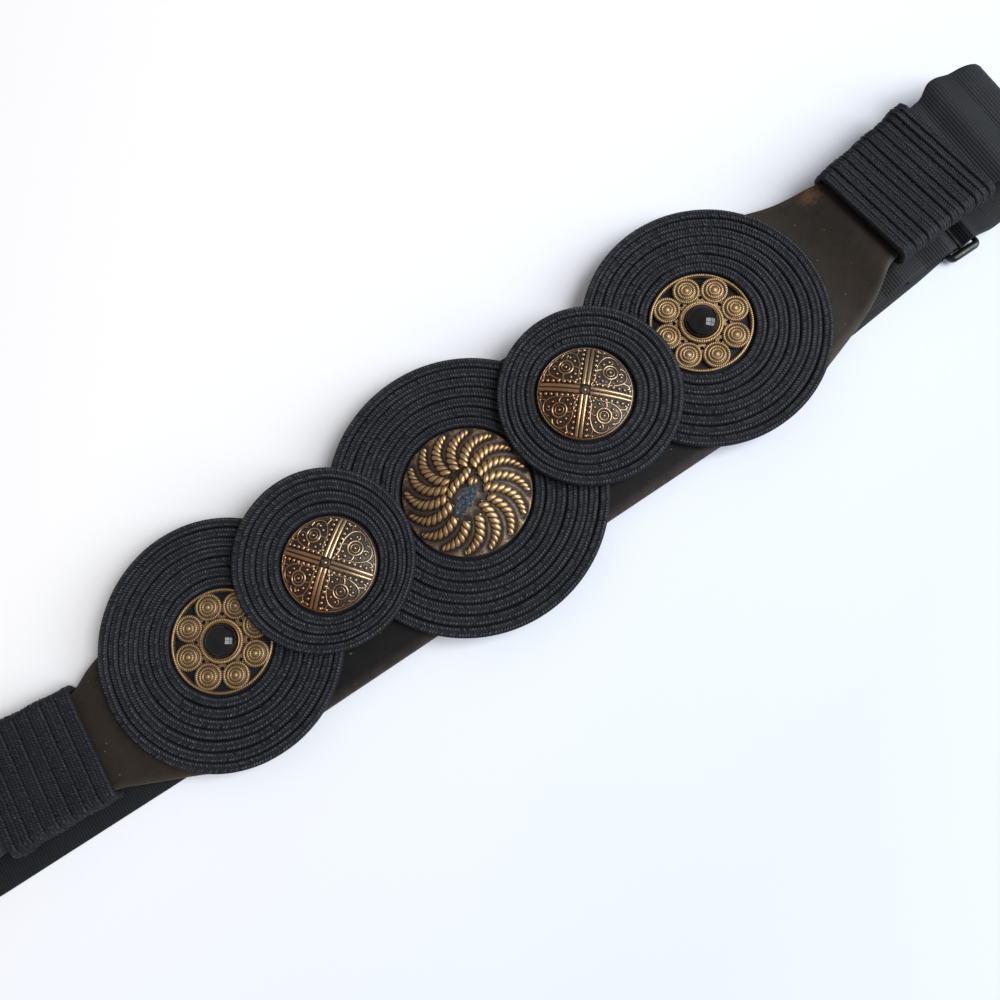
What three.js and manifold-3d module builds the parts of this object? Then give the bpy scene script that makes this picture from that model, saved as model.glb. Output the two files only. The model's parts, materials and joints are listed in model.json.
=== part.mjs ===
// A waist belt with metal medallions, fastened and laid flat, so that the
// leather front lies on the elastic back. X runs along the belt, Y across it
// and Z up, in millimetres. The origin is the middle of the belt's footprint
// on the surface that it lies on.

import * as THREE from 'three';
import { mergeVertices } from 'three/addons/utils/BufferGeometryUtils.js';
import Module from 'manifold-3d';

const wasm = await Module();
wasm.setup();

const DEGREE = Math.PI / 180;
const QUARTER_TURN = Math.PI / 2;

// Clear space between two pieces that lie on each other
const GAP = 0.3;

// Leather front
const LEATHER_THICKNESS = 2.2;
const LEATHER_BASE = 4.0;
const LEATHER_END_RISE = 4.8;

// Height of the coiled discs: the big ones lie on the leather and the small
// ones on the big ones
const DISC_THICKNESS = 3.0;
const DISC_BED = 1.2;
const LOWER_TIER = LEATHER_BASE + LEATHER_THICKNESS + GAP;
const UPPER_TIER = LOWER_TIER + DISC_THICKNESS + 0.7;
const BRAID_PITCH = 3.06;
const BRAID_GROOVE = 0.8;
const DISC_SEGMENTS = 28;

// Radii of the metalwork
const FILIGREE_RADIUS = 15.65;
const SMALL_MEDALLION_RADIUS = 14.4;
const CENTRE_MEDALLION_RADIUS = 19.6;
const CABOCHON_RADIUS = 5.0;
const BED_CLEARANCE = 0.6;
const BED_RADII = {
  filigree: FILIGREE_RADIUS + BED_CLEARANCE,
  small: SMALL_MEDALLION_RADIUS + BED_CLEARANCE,
  centre: CENTRE_MEDALLION_RADIUS + BED_CLEARANCE,
};

// Each disc with the medallion that it carries. offX and offY are how far the
// medallion sits off the disc's centre, and turn is the medallion's turn about
// its own axis, in degrees.
const DISCS = [
  { name: 'left', x: -84.9, y: 3.9, radius: 37.5, kind: 'filigree', offX: 0.9, offY: 0, turn: -7.5 },
  { name: 'small_left', x: -45.7, y: 6.9, radius: 27.6, kind: 'small', offX: 0.9, offY: -2.4, turn: -51 },
  { name: 'centre', x: 0, y: 0, radius: 42.4, kind: 'centre', offX: 0.5, offY: 0.5, turn: 0 },
  { name: 'small_right', x: 46.7, y: 3.8, radius: 27.6, kind: 'small', offX: -1.1, offY: 0.9, turn: -42.5 },
  { name: 'right', x: 88.1, y: 2.6, radius: 37.5, kind: 'filigree', offX: -0.8, offY: 1.4, turn: -11 },
];

// Filigree plate: a ring of coiled wire rosettes between a rim and the collar
// that holds the stone
const FILIGREE_BASE = 0.9;
const FILIGREE_RIM_WIDTH = 1.2;
const FILIGREE_RIM_TOP = { outside: 1.3, inside: 1.5 };
const ROSETTE_COUNT = 8;
const ROSETTE_RADIUS = 4.25;
const ROSETTE_ORBIT = 10.8;
const ROSETTE_HEIGHT = 1.9;
const ROSETTE_SHOULDER = { radius: 2.55, height: 1.6 };
const COLLAR_RADIUS = 6.8;
const COLLAR_TOP_RADIUS = 6.5;
const COLLAR_HEIGHT = 2.1;
const RIM_SEGMENTS = 24;
const COLLAR_SEGMENTS = 16;
const ROSETTE_SEGMENTS = 10;

// Domed stone
const CABOCHON_HEIGHT = 4.6;
const CABOCHON_GIRDLE = 1.2;
const CABOCHON_STEPS = 4;

// Small button: a dome with a cross of four ribs, a boss in the middle and a
// roundel in each quarter. Profiles are pairs of radius and height.
const SMALL_DOME = [[14.4, 0.9], [13.2, 1.5], [10, 2.9], [5.5, 4.0], [0, 4.5]];
const SMALL_DOME_SEGMENTS = 20;
const BOSS_PROFILE = [[0, 3], [1.5, 3], [1.5, 4.6], [0.8, 5.1], [0, 5.2]];
const ROUNDEL_PROFILE = [[0, -0.8], [2.3, -0.8], [2.1, 0.5], [0.9, 0.1], [0, 0.7]];
const ROUNDEL_ORBIT = 9.3;
const ROUNDEL_TILT = 19 * DEGREE;
const ROUNDEL_SEGMENTS = 10;
const RIB_STATIONS = [13.6, 10, 5.5, 1];
const RIB_FOOT = 2.2;
const RIB_TOP = 1.54;
const RIB_PROUD = 0.45;
const RIB_SUNK = 0.6;
const QUARTERS = [0, 1, 2, 3];

// Centre button: a dome with sixteen ropes that swirl out from the middle.
// Each row is a circle of the dome; ridge is how far the ropes stand above the
// ground between them, and swirl is their turn in degrees.
const ROPE_COUNT = 16;
const SWIRL_ROWS = [
  { radius: 3.2, height: 6.4, ridge: 0, swirl: 12 },
  { radius: 5.6, height: 6.2, ridge: 1.1, swirl: 14 },
  { radius: 9.0, height: 5.4, ridge: 1.3, swirl: 15 },
  { radius: 12.6, height: 4.1, ridge: 1.3, swirl: 10 },
  { radius: 15.8, height: 2.6, ridge: 1.1, swirl: 1 },
  { radius: 18.2, height: 1.5, ridge: 0.4, swirl: -11 },
  { radius: CENTRE_MEDALLION_RADIUS, height: 1.3, ridge: 0, swirl: -11 },
  { radius: CENTRE_MEDALLION_RADIUS, height: 0, ridge: 0, swirl: -11 },
];

// Short rope that lies across the middle of the centre button; each station is
// a share of its half length with the rope's radius there
const CROSS_ROPE = { halfLength: 4.6, x: -0.6, y: 2.3, z: 6.7, heading: 19, sides: 6 };
const CROSS_ROPE_STATIONS = [
  { share: -1, radius: 0.75 },
  { share: -0.5, radius: 0.92 },
  { share: 0, radius: 1.1 },
  { share: 0.5, radius: 0.92 },
  { share: 1, radius: 0.75 },
];

// Cuts across the free leather from left to right. lower and upper are its
// two edges, and lift is the share of the rise to the right-hand wrap.
const LEATHER_SECTIONS = [
  { x: -124, lower: -19.0, upper: 20.6, lift: 0 },
  { x: -114, lower: -23.4, upper: 23.8, lift: 0 },
  { x: -105, lower: -27.6, upper: 27.4, lift: 0 },
  { x: -97, lower: -30.0, upper: 30.0, lift: 0 },
  { x: 102, lower: -30.0, upper: 30.0, lift: 0 },
  { x: 109, lower: -28.6, upper: 29.0, lift: 0 },
  { x: 117, lower: -26.0, upper: 26.8, lift: 0 },
  { x: 126, lower: -23.0, upper: 23.6, lift: 0 },
  { x: 131, lower: -20.9, upper: 22.2, lift: 0.22 },
  { x: 136, lower: -18.2, upper: 21.2, lift: 0.55 },
];

// Cuts across the leather's ends, measured along a wrap from its mouth
const LEATHER_TUCK = [
  { along: -1.2, half: 17.2 },
  { along: -0.2, half: 16.1 },
  { along: 24, half: 16.3 },
];

// Elastic webbing
const WEBBING_THICKNESS = 1.2;
const WEBBING_WIDTH = 38;
const NARROW_WIDTH = 35.6;
const ON_TABLE = WEBBING_THICKNESS / 2;
const ON_WEBBING = ON_TABLE + WEBBING_THICKNESS + GAP;
const OVER_TWO_WEBBINGS = ON_WEBBING + WEBBING_THICKNESS + GAP;
const EASY_BEND = 5;
const ARC_STEP = 22 * DEGREE;

// Slider: three bars across the webbing, joined by a rail past each edge
const SLIDER_Y = -1.9;
const BAR_RADIUS = 0.8;
const BAR_PITCH = 4.9;
const RAIL_RADIUS = 1.3;
const RAIL_OFFSET = 19.5;
const SLIDER_CORNER = 1.4;
const BAR_SIDES = 8;
const AROUND_BAR = BAR_RADIUS + GAP + WEBBING_THICKNESS / 2;
const AROUND_LOOP = AROUND_BAR + WEBBING_THICKNESS + GAP;
const BAR_HEIGHT = ON_TABLE + AROUND_BAR;
const LEFT_BAR = 162.3;
const MIDDLE_BAR = LEFT_BAR + BAR_PITCH;
const RIGHT_BAR = MIDDLE_BAR + BAR_PITCH;

// Wraps: braid wound round the ends of the leather and the webbing in them
const WRAP_LENGTH = 36.5;
const WRAP_TURNS = 7.5;
const WRAP_BRAID = 2.0;
const WRAP_SIDE_BRAID = 1.8;
const WRAP_SLOT_HEIGHT = LEATHER_THICKNESS + WEBBING_THICKNESS + 3 * GAP;
const WRAP_MOUTH_HALF_WIDTH = 18.3;
const WRAP_FAR_HALF_WIDTH = 19.4;
const WRAP_CORNER = 2.8;
const WRAP_SLOT_CORNER = 0.2;
const WRAP_CORNER_SHARES = [0.1, 0.5, 0.9];
const WRAP_END_INSET = 1.2;
const WRAP_LAST_TURN = { from: 0.85, swell: 0.5, upwardsShare: 0.4 };
// Outside of one turn: the share of the turn's length, and how far the surface
// lies below the crest there
const TURN_PROFILE = [
  { at: 0.08, below: 0.9 },
  { at: 0.35, below: 0 },
  { at: 0.75, below: 0.25 },
];
const WRAPS = [
  { name: 'left', x: -130.4, y: 0.6, lift: 0, heading: 174.8 },
  { name: 'right', x: 142.2, y: 2.9, lift: 1, heading: 5.5 },
];

// Height of the webbing where it lies on the leather inside a wrap
const LEFT_ENTRY = LEATHER_BASE + LEATHER_THICKNESS + GAP + WEBBING_THICKNESS / 2;
const RIGHT_ENTRY = LEFT_ENTRY + LEATHER_END_RISE;

// Course of the webbing that leaves the left-hand wrap, folds back under it,
// runs along the table and is sewn round the slider's left-hand bar. Each row
// is a bend about the centre x, z; side is 1 where the bend turns to the left
// of the way the course runs, -1 to the right, and 0 at a plain point. y and
// width place the webbing across the belt; yEnd is y at the end of the bend.
const LEFT_COURSE = [
  { x: -139, z: LEFT_ENTRY, radius: 0, side: 0, y: 1.4, width: 30.6 },
  { x: -168.5, z: LEFT_ENTRY + EASY_BEND, radius: EASY_BEND, side: -1, y: 4.1, width: 34 },
  { x: -176, z: 4.0, radius: 6, side: 1, y: 4.8, width: 37 },
  { x: -184, z: 14.2, radius: EASY_BEND, side: -1, y: 5.4, width: WEBBING_WIDTH },
  { x: -198.3, z: 6.1, radius: 5.5, side: 1, y: 5.6, yEnd: -0.8, width: WEBBING_WIDTH },
  { x: -180, z: ON_TABLE, radius: 0, side: 0, y: -2.6, width: WEBBING_WIDTH },
  { x: -115, z: ON_TABLE, radius: 0, side: 0, y: -3.9, width: WEBBING_WIDTH },
  { x: 124, z: ON_TABLE, radius: 0, side: 0, y: -4.7, width: WEBBING_WIDTH },
  { x: 152, z: ON_TABLE, radius: 0, side: 0, y: -2.4, width: 37.4 },
  { x: LEFT_BAR, z: BAR_HEIGHT, radius: AROUND_BAR, side: 1, y: SLIDER_Y, width: NARROW_WIDTH },
  { x: 154, z: ON_WEBBING + EASY_BEND, radius: EASY_BEND, side: -1, y: -2.2, width: NARROW_WIDTH },
  { x: 147.5, z: ON_WEBBING, radius: 0, side: 0, y: -2.5, width: NARROW_WIDTH },
];

// Course of the webbing that leaves the right-hand wrap, folds back under it
// and is threaded over, under and over the slider's bars; its end lies on the
// other webbing beneath the leather.
const RIGHT_COURSE = [
  { x: 150, z: RIGHT_ENTRY, radius: 0, side: 0, y: 3.7, width: 31.6 },
  { x: 179.5, z: RIGHT_ENTRY + EASY_BEND, radius: EASY_BEND, side: 1, y: 6.4, width: 34 },
  { x: 187, z: 8.4, radius: 6, side: -1, y: 6.9, width: WEBBING_WIDTH },
  { x: 193, z: 18.4, radius: EASY_BEND, side: 1, y: 5.8, width: WEBBING_WIDTH },
  { x: 197.2, z: 7.2, radius: 6.6, side: -1, y: 5.4, yEnd: 0.4, width: WEBBING_WIDTH },
  { x: 180.5, z: ON_TABLE + EASY_BEND, radius: EASY_BEND, side: -1, y: -1.0, width: WEBBING_WIDTH },
  { x: RIGHT_BAR, z: BAR_HEIGHT, radius: AROUND_BAR, side: 1, y: SLIDER_Y, width: NARROW_WIDTH },
  { x: MIDDLE_BAR, z: BAR_HEIGHT, radius: AROUND_BAR, side: -1, y: SLIDER_Y, width: NARROW_WIDTH },
  { x: LEFT_BAR, z: BAR_HEIGHT, radius: AROUND_LOOP, side: 1, y: SLIDER_Y, width: NARROW_WIDTH },
  { x: 153.5, z: OVER_TWO_WEBBINGS + EASY_BEND, radius: EASY_BEND, side: -1, y: -1.5, width: NARROW_WIDTH },
  { x: 146.5, z: OVER_TWO_WEBBINGS - EASY_BEND, radius: EASY_BEND, side: 1, y: -1.7, width: 36.4 },
  { x: 138.5, z: ON_WEBBING + EASY_BEND, radius: EASY_BEND, side: -1, y: -2.3, width: 36.8 },
  { x: 82, z: ON_WEBBING, radius: 0, side: 0, y: -5.0, width: WEBBING_WIDTH },
];

const FINISHES = {
  leather: { color: 0x3a3128, roughness: 0.55, metalness: 0 },
  braid: { color: 0x17191c, roughness: 0.9, metalness: 0 },
  webbing: { color: 0x15171b, roughness: 0.85, metalness: 0 },
  brass: { color: 0x9a7a48, roughness: 0.45, metalness: 0.9 },
  darkBrass: { color: 0x6e5638, roughness: 0.5, metalness: 0.9 },
  gunmetal: { color: 0x3b3730, roughness: 0.4, metalness: 0.9 },
  stone: { color: 0x0a0b0d, roughness: 0.08, metalness: 0 },
};

function point(x, y, z) {
  return new THREE.Vector3(x, y, z);
}

function pieceOf(name, geometry, finish) {
  const piece = new THREE.Mesh(geometry, new THREE.MeshStandardMaterial(FINISHES[finish]));
  piece.name = name;
  return piece;
}

// Closed skin over rings that all have the same number of points. The rings
// run round in a loop, or the first and last are closed with flat caps. The
// faces are turned to point outwards.
function skin(rings, looped) {
  const size = rings[0].length;
  const triangles = [];
  const triangle = (a, b, c) => triangles.push([a, b, c]);
  const bands = looped ? rings.length : rings.length - 1;
  for (let i = 0; i < bands; i += 1) {
    const here = rings[i];
    const next = rings[(i + 1) % rings.length];
    for (let j = 0; j < size; j += 1) {
      const k = (j + 1) % size;
      triangle(here[j], here[k], next[k]);
      triangle(here[j], next[k], next[j]);
    }
  }
  if (!looped) {
    const first = rings[0];
    const last = rings[rings.length - 1];
    for (let j = 1; j < size - 1; j += 1) {
      triangle(first[0], first[j + 1], first[j]);
      triangle(last[0], last[j], last[j + 1]);
    }
  }
  const volume = triangles.reduce((sum, [a, b, c]) => sum + a.dot(b.clone().cross(c)), 0);
  const outward = volume < 0 ? triangles.map(([a, b, c]) => [a, c, b]) : triangles;
  const positions = outward.flat().flatMap((corner) => corner.toArray());
  const geometry = new THREE.BufferGeometry();
  geometry.setAttribute('position', new THREE.Float32BufferAttribute(positions, 3));
  const merged = mergeVertices(geometry);
  merged.computeVertexNormals();
  return merged;
}

function solidOf(geometry) {
  const bare = geometry.clone();
  bare.deleteAttribute('normal');
  bare.deleteAttribute('uv');
  const merged = mergeVertices(bare, 1e-4);
  return new wasm.Manifold(new wasm.Mesh({
    numProp: 3,
    vertProperties: new Float32Array(merged.attributes.position.array),
    triVerts: new Uint32Array(merged.index.array),
  }));
}

function geometryOf(solid) {
  const mesh = solid.getMesh();
  const geometry = new THREE.BufferGeometry();
  geometry.setAttribute('position', new THREE.BufferAttribute(mesh.vertProperties, 3));
  geometry.setIndex(new THREE.BufferAttribute(mesh.triVerts, 1));
  geometry.computeVertexNormals();
  return geometry;
}

function join(geometries) {
  return geometryOf(geometries.map(solidOf).reduce((all, next) => all.add(next)));
}

// Turned piece standing along Z, from pairs of radius and height
function turned(profile, segments) {
  const outline = profile.map(([radius, height]) => new THREE.Vector2(radius, height));
  return new THREE.LatheGeometry(outline, segments).rotateX(QUARTER_TURN);
}

// Points along a course of bends joined by straight stretches, each with the
// heading in the XZ plane and the place across the belt
function followCourse(course) {
  const headings = [];
  for (let i = 0; i < course.length - 1; i += 1) {
    const here = course[i];
    const next = course[i + 1];
    const across = next.side * next.radius - here.side * here.radius;
    const distance = Math.hypot(next.x - here.x, next.z - here.z);
    headings.push(Math.atan2(next.z - here.z, next.x - here.x) - Math.asin(across / distance));
  }
  const stations = [];
  course.forEach((row, i) => {
    const entering = headings[Math.max(i - 1, 0)];
    const leaving = headings[Math.min(i, headings.length - 1)];
    const turn = Math.atan2(Math.sin(leaving - entering), Math.cos(leaving - entering));
    const wrongWay = row.side !== 0 && Math.sign(turn) !== row.side;
    const bend = wrongWay ? turn + 2 * Math.PI * row.side : turn;
    const steps = row.radius > 0 ? Math.max(1, Math.ceil(Math.abs(bend) / ARC_STEP)) : 0;
    const yEnd = row.yEnd ?? row.y;
    for (let step = 0; step <= steps; step += 1) {
      const share = steps > 0 ? step / steps : 0.5;
      const heading = entering + bend * share;
      stations.push({
        x: row.x + row.side * row.radius * Math.sin(heading),
        z: row.z - row.side * row.radius * Math.cos(heading),
        heading,
        y: row.y + (yEnd - row.y) * share,
        width: row.width,
      });
    }
  });
  return stations;
}

function webbingGeometry(course) {
  const half = WEBBING_THICKNESS / 2;
  const rings = followCourse(course).map(({ x, y, z, heading, width }) => {
    const corner = (side, edge) => point(
      x - side * half * Math.sin(heading),
      y + edge * width / 2,
      z + side * half * Math.cos(heading),
    );
    return [corner(1, 1), corner(1, -1), corner(-1, -1), corner(-1, 1)];
  });
  return skin(rings, false);
}

// Ring round the leather between its two edge points
function leatherRing(upper, lower, lift) {
  const base = LEATHER_BASE + lift * LEATHER_END_RISE;
  const top = base + LEATHER_THICKNESS;
  return [
    point(upper.x, upper.y, top),
    point(upper.x, upper.y, base),
    point(lower.x, lower.y, base),
    point(lower.x, lower.y, top),
  ];
}

function tuckRings(wrap) {
  const heading = wrap.heading * DEGREE;
  const upperSide = Math.sign(Math.cos(heading));
  return LEATHER_TUCK.map(({ along, half }) => {
    const edge = (side) => ({
      x: wrap.x + along * Math.cos(heading) - side * half * Math.sin(heading),
      y: wrap.y + along * Math.sin(heading) + side * half * Math.cos(heading),
    });
    return leatherRing(edge(upperSide), edge(-upperSide), wrap.lift);
  });
}

function leatherGeometry() {
  const [leftWrap, rightWrap] = WRAPS;
  const free = LEATHER_SECTIONS.map(({ x, lower, upper, lift }) => (
    leatherRing({ x, y: upper }, { x, y: lower }, lift)
  ));
  return skin([...tuckRings(leftWrap).reverse(), ...free, ...tuckRings(rightWrap)], false);
}

// Disc of braid coiled edge to edge about a bed that holds the medallion
function discGeometry({ radius, kind, offX, offY }) {
  const bedRadius = BED_RADII[kind];
  const turns = Math.round((radius - bedRadius) / BRAID_PITCH);
  const pitch = (radius - bedRadius) / turns;
  const groove = DISC_THICKNESS - BRAID_GROOVE;
  const profile = [[0, 0], [radius - pitch / 4, 0], [radius, groove / 2]];
  for (let turn = turns; turn > 0; turn -= 1) {
    const outer = bedRadius + turn * pitch;
    profile.push([outer - pitch / 2, DISC_THICKNESS], [outer - pitch, groove]);
  }
  profile.push([bedRadius, DISC_BED], [0, DISC_BED]);
  const disc = turned(profile, DISC_SEGMENTS);

  // The coils lean evenly from the rim's centre to the medallion's
  const { position } = disc.attributes;
  for (let i = 0; i < position.count; i += 1) {
    const x = position.getX(i);
    const y = position.getY(i);
    const away = Math.max(Math.hypot(x, y), bedRadius);
    const share = (radius - away) / (radius - bedRadius);
    position.setXY(i, x + share * offX, y + share * offY);
  }
  return disc;
}

function rosetteGeometry(index) {
  const angle = (index / ROSETTE_COUNT) * 2 * Math.PI;
  const profile = [
    [0, 0],
    [ROSETTE_RADIUS, 0],
    [ROSETTE_RADIUS, FILIGREE_BASE],
    [ROSETTE_SHOULDER.radius, ROSETTE_SHOULDER.height],
    [0, ROSETTE_HEIGHT],
  ];
  return turned(profile, ROSETTE_SEGMENTS)
    .translate(ROSETTE_ORBIT * Math.cos(angle), ROSETTE_ORBIT * Math.sin(angle), 0);
}

function filigreeGeometry() {
  const rimInner = FILIGREE_RADIUS - FILIGREE_RIM_WIDTH;
  const rim = turned([
    [rimInner, 0],
    [FILIGREE_RADIUS, 0],
    [FILIGREE_RADIUS, FILIGREE_RIM_TOP.outside],
    [rimInner, FILIGREE_RIM_TOP.inside],
    [rimInner, 0],
  ], RIM_SEGMENTS);
  const collar = turned([
    [0, 0],
    [COLLAR_RADIUS, 0],
    [COLLAR_TOP_RADIUS, COLLAR_HEIGHT],
    [CABOCHON_RADIUS + GAP, COLLAR_HEIGHT],
    [CABOCHON_RADIUS + GAP, FILIGREE_BASE],
    [0, FILIGREE_BASE],
  ], COLLAR_SEGMENTS);
  const rosettes = Array.from({ length: ROSETTE_COUNT }, (unused, index) => rosetteGeometry(index));
  return join([rim, collar, ...rosettes]);
}

function cabochonGeometry() {
  const profile = [[0, 0], [CABOCHON_RADIUS, 0], [CABOCHON_RADIUS, CABOCHON_GIRDLE]];
  for (let step = 1; step < CABOCHON_STEPS; step += 1) {
    const angle = (step / CABOCHON_STEPS) * QUARTER_TURN;
    profile.push([
      CABOCHON_RADIUS * Math.cos(angle),
      CABOCHON_GIRDLE + (CABOCHON_HEIGHT - CABOCHON_GIRDLE) * Math.sin(angle),
    ]);
  }
  profile.push([0, CABOCHON_HEIGHT]);
  return turned(profile, COLLAR_SEGMENTS);
}

function smallDomeHeight(radius) {
  const band = SMALL_DOME.findIndex(([inner]) => radius >= inner);
  const [outer, low] = SMALL_DOME[Math.max(band - 1, 0)];
  const [inner, high] = SMALL_DOME[Math.max(band, 1)];
  return low + (high - low) * (outer - radius) / (outer - inner);
}

function crossRibGeometry(index) {
  const rings = RIB_STATIONS.map((radius) => {
    const dome = smallDomeHeight(radius);
    return [
      point(radius, RIB_TOP / 2, dome + RIB_PROUD),
      point(radius, -RIB_TOP / 2, dome + RIB_PROUD),
      point(radius, -RIB_FOOT / 2, dome - RIB_SUNK),
      point(radius, RIB_FOOT / 2, dome - RIB_SUNK),
    ];
  });
  return skin(rings, false).rotateZ(index * QUARTER_TURN);
}

function roundelGeometry(index) {
  return turned(ROUNDEL_PROFILE, ROUNDEL_SEGMENTS)
    .rotateY(ROUNDEL_TILT)
    .translate(ROUNDEL_ORBIT, 0, smallDomeHeight(ROUNDEL_ORBIT))
    .rotateZ((index + 0.5) * QUARTER_TURN);
}

function smallMedallionGeometry() {
  const dome = turned([[0, 0], [SMALL_MEDALLION_RADIUS, 0], ...SMALL_DOME], SMALL_DOME_SEGMENTS);
  const boss = turned(BOSS_PROFILE, ROUNDEL_SEGMENTS);
  return join([dome, boss, ...QUARTERS.map(crossRibGeometry), ...QUARTERS.map(roundelGeometry)]);
}

function swirlGeometry() {
  const samples = ROPE_COUNT * 2;
  const rings = SWIRL_ROWS.map(({ radius, height, ridge, swirl }) => (
    Array.from({ length: samples }, (unused, j) => {
      const angle = (j / samples) * 2 * Math.PI + swirl * DEGREE;
      const level = height + (j % 2 === 0 ? ridge / 2 : -ridge / 2);
      return point(radius * Math.cos(angle), radius * Math.sin(angle), level);
    })
  ));
  return skin(rings, false);
}

function crossRopeGeometry() {
  const { halfLength, x, y, z, heading, sides } = CROSS_ROPE;
  const rings = CROSS_ROPE_STATIONS.map(({ share, radius }) => (
    Array.from({ length: sides }, (unused, j) => {
      const angle = (j / sides) * 2 * Math.PI;
      return point(share * halfLength, radius * Math.cos(angle), z + radius * Math.sin(angle));
    })
  ));
  return skin(rings, false).rotateZ(heading * DEGREE).translate(x, y, 0);
}

function centreMedallionGeometry() {
  return join([swirlGeometry(), crossRopeGeometry()]);
}

// Sections along a wrap: out along the wound turns, and then straight back
// along the slot
function wrapProfile() {
  const profile = [{ share: 0, swell: 0, inset: WRAP_END_INSET }];
  for (let turn = 0; turn < WRAP_TURNS; turn += 1) {
    TURN_PROFILE.forEach(({ at, below }) => {
      const share = (turn + at) / WRAP_TURNS;
      const swell = share > WRAP_LAST_TURN.from ? WRAP_LAST_TURN.swell : 0;
      if (share < 1) {
        profile.push({ share, swell, inset: below });
      }
    });
  }
  profile.push({ share: 1, swell: 0, inset: WRAP_END_INSET });
  profile.push({ share: 1, inSlot: true });
  profile.push({ share: 0, inSlot: true });
  return profile;
}

// Points once round a section with rounded ends
function roundedSection(halfWidth, halfHeight, corner, along) {
  const quarters = [[1, 1], [-1, 1], [-1, -1], [1, -1]];
  return quarters.flatMap(([sideY, sideZ], quarter) => (
    WRAP_CORNER_SHARES.map((share) => {
      const angle = (quarter + share) * QUARTER_TURN;
      return point(
        along,
        sideY * (halfWidth - corner) + corner * Math.cos(angle),
        sideZ * (halfHeight - corner) + corner * Math.sin(angle),
      );
    })
  ));
}

// Sleeve of wound braid with a slot for the leather and the webbing; it runs
// along X from its mouth
function wrapGeometry() {
  const widen = WRAP_FAR_HALF_WIDTH - WRAP_MOUTH_HALF_WIDTH;
  const sections = wrapProfile().map(({ share, inSlot, inset, swell }) => {
    const along = share * WRAP_LENGTH;
    const halfWidth = WRAP_MOUTH_HALF_WIDTH + widen * share;
    const halfSlot = WRAP_SLOT_HEIGHT / 2;
    if (inSlot) {
      return roundedSection(halfWidth - WRAP_SIDE_BRAID, halfSlot, WRAP_SLOT_CORNER, along);
    }
    const halfHeight = halfSlot + WRAP_BRAID - inset + swell * WRAP_LAST_TURN.upwardsShare;
    return roundedSection(halfWidth - inset + swell, halfHeight, WRAP_CORNER, along);
  });
  return skin(sections, true);
}

// Corner by corner round the slider's frame, with the way outwards at each point
function sliderPath() {
  const corners = [[1, 1], [-1, 1], [-1, -1], [1, -1]];
  return corners.flatMap(([sideX, sideY], quarter) => (
    [0, 0.5, 1].map((share) => {
      const outward = (quarter + share) * QUARTER_TURN;
      return {
        x: sideX * (BAR_PITCH - SLIDER_CORNER) + SLIDER_CORNER * Math.cos(outward),
        y: sideY * (RAIL_OFFSET - SLIDER_CORNER) + SLIDER_CORNER * Math.sin(outward),
        outward,
      };
    })
  ));
}

// Frame of round bars: outer bars across the webbing, thicker rails along its
// edges and a middle bar between the rails
function sliderGeometry() {
  const rings = sliderPath().map(({ x, y, outward }) => {
    const railShare = Math.abs(Math.sin(outward));
    const radius = BAR_RADIUS + (RAIL_RADIUS - BAR_RADIUS) * railShare;
    return Array.from({ length: BAR_SIDES }, (unused, j) => {
      const angle = ((j + 0.5) / BAR_SIDES) * 2 * Math.PI;
      const out = radius * Math.cos(angle);
      return point(x + out * Math.cos(outward), y + out * Math.sin(outward), radius * Math.sin(angle));
    });
  });
  const middleBar = new THREE.CylinderGeometry(BAR_RADIUS, BAR_RADIUS, 2 * RAIL_OFFSET, BAR_SIDES);
  return join([skin(rings, true), middleBar]);
}

function addMedallion(belt, disc, tier) {
  const place = (piece, lift) => {
    piece.position.set(disc.x + disc.offX, disc.y + disc.offY, tier + DISC_BED + GAP + lift);
    piece.rotation.z = disc.turn * DEGREE;
    belt.add(piece);
  };
  if (disc.kind === 'filigree') {
    place(pieceOf(`filigree_${disc.name}`, filigreeGeometry(), 'brass'), 0);
    place(pieceOf(`cabochon_${disc.name}`, cabochonGeometry(), 'stone'), FILIGREE_BASE + GAP);
  } else if (disc.kind === 'centre') {
    place(pieceOf('medallion_centre', centreMedallionGeometry(), 'brass'), 0);
  } else {
    place(pieceOf(`medallion_${disc.name}`, smallMedallionGeometry(), 'darkBrass'), 0);
  }
}

function addDisc(belt, disc) {
  const tier = disc.kind === 'small' ? UPPER_TIER : LOWER_TIER;
  const piece = pieceOf(`disc_${disc.name}`, discGeometry(disc), 'braid');
  piece.position.set(disc.x, disc.y, tier);
  belt.add(piece);
  addMedallion(belt, disc, tier);
}

function addWrap(belt, wrap) {
  const piece = pieceOf(`wrap_${wrap.name}`, wrapGeometry(), 'braid');
  const slotFloor = LEATHER_BASE - GAP + wrap.lift * LEATHER_END_RISE;
  piece.position.set(wrap.x, wrap.y, slotFloor + WRAP_SLOT_HEIGHT / 2);
  piece.rotation.z = wrap.heading * DEGREE;
  belt.add(piece);
}

function addSlider(belt) {
  const slider = pieceOf('slider', sliderGeometry(), 'gunmetal');
  slider.position.set(MIDDLE_BAR, SLIDER_Y, BAR_HEIGHT);
  belt.add(slider);
}

function buildBelt() {
  const belt = new THREE.Group();
  belt.add(pieceOf('leather_panel', leatherGeometry(), 'leather'));
  belt.add(pieceOf('strap_left', webbingGeometry(LEFT_COURSE), 'webbing'));
  belt.add(pieceOf('strap_right', webbingGeometry(RIGHT_COURSE), 'webbing'));
  DISCS.forEach((disc) => addDisc(belt, disc));
  WRAPS.forEach((wrap) => addWrap(belt, wrap));
  addSlider(belt);
  return belt;
}

export default buildBelt();
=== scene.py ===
"""A waist belt with coiled braid discs and metal medallions, fastened and laid flat.

Lengths in this script are in millimetres and become metres where a mesh is made.
X runs along the belt, Y across it and Z up from the surface that it lies on.
"""

import json
import math

import bmesh
import bpy
import numpy as np
from mathutils import Matrix, Vector

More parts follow.
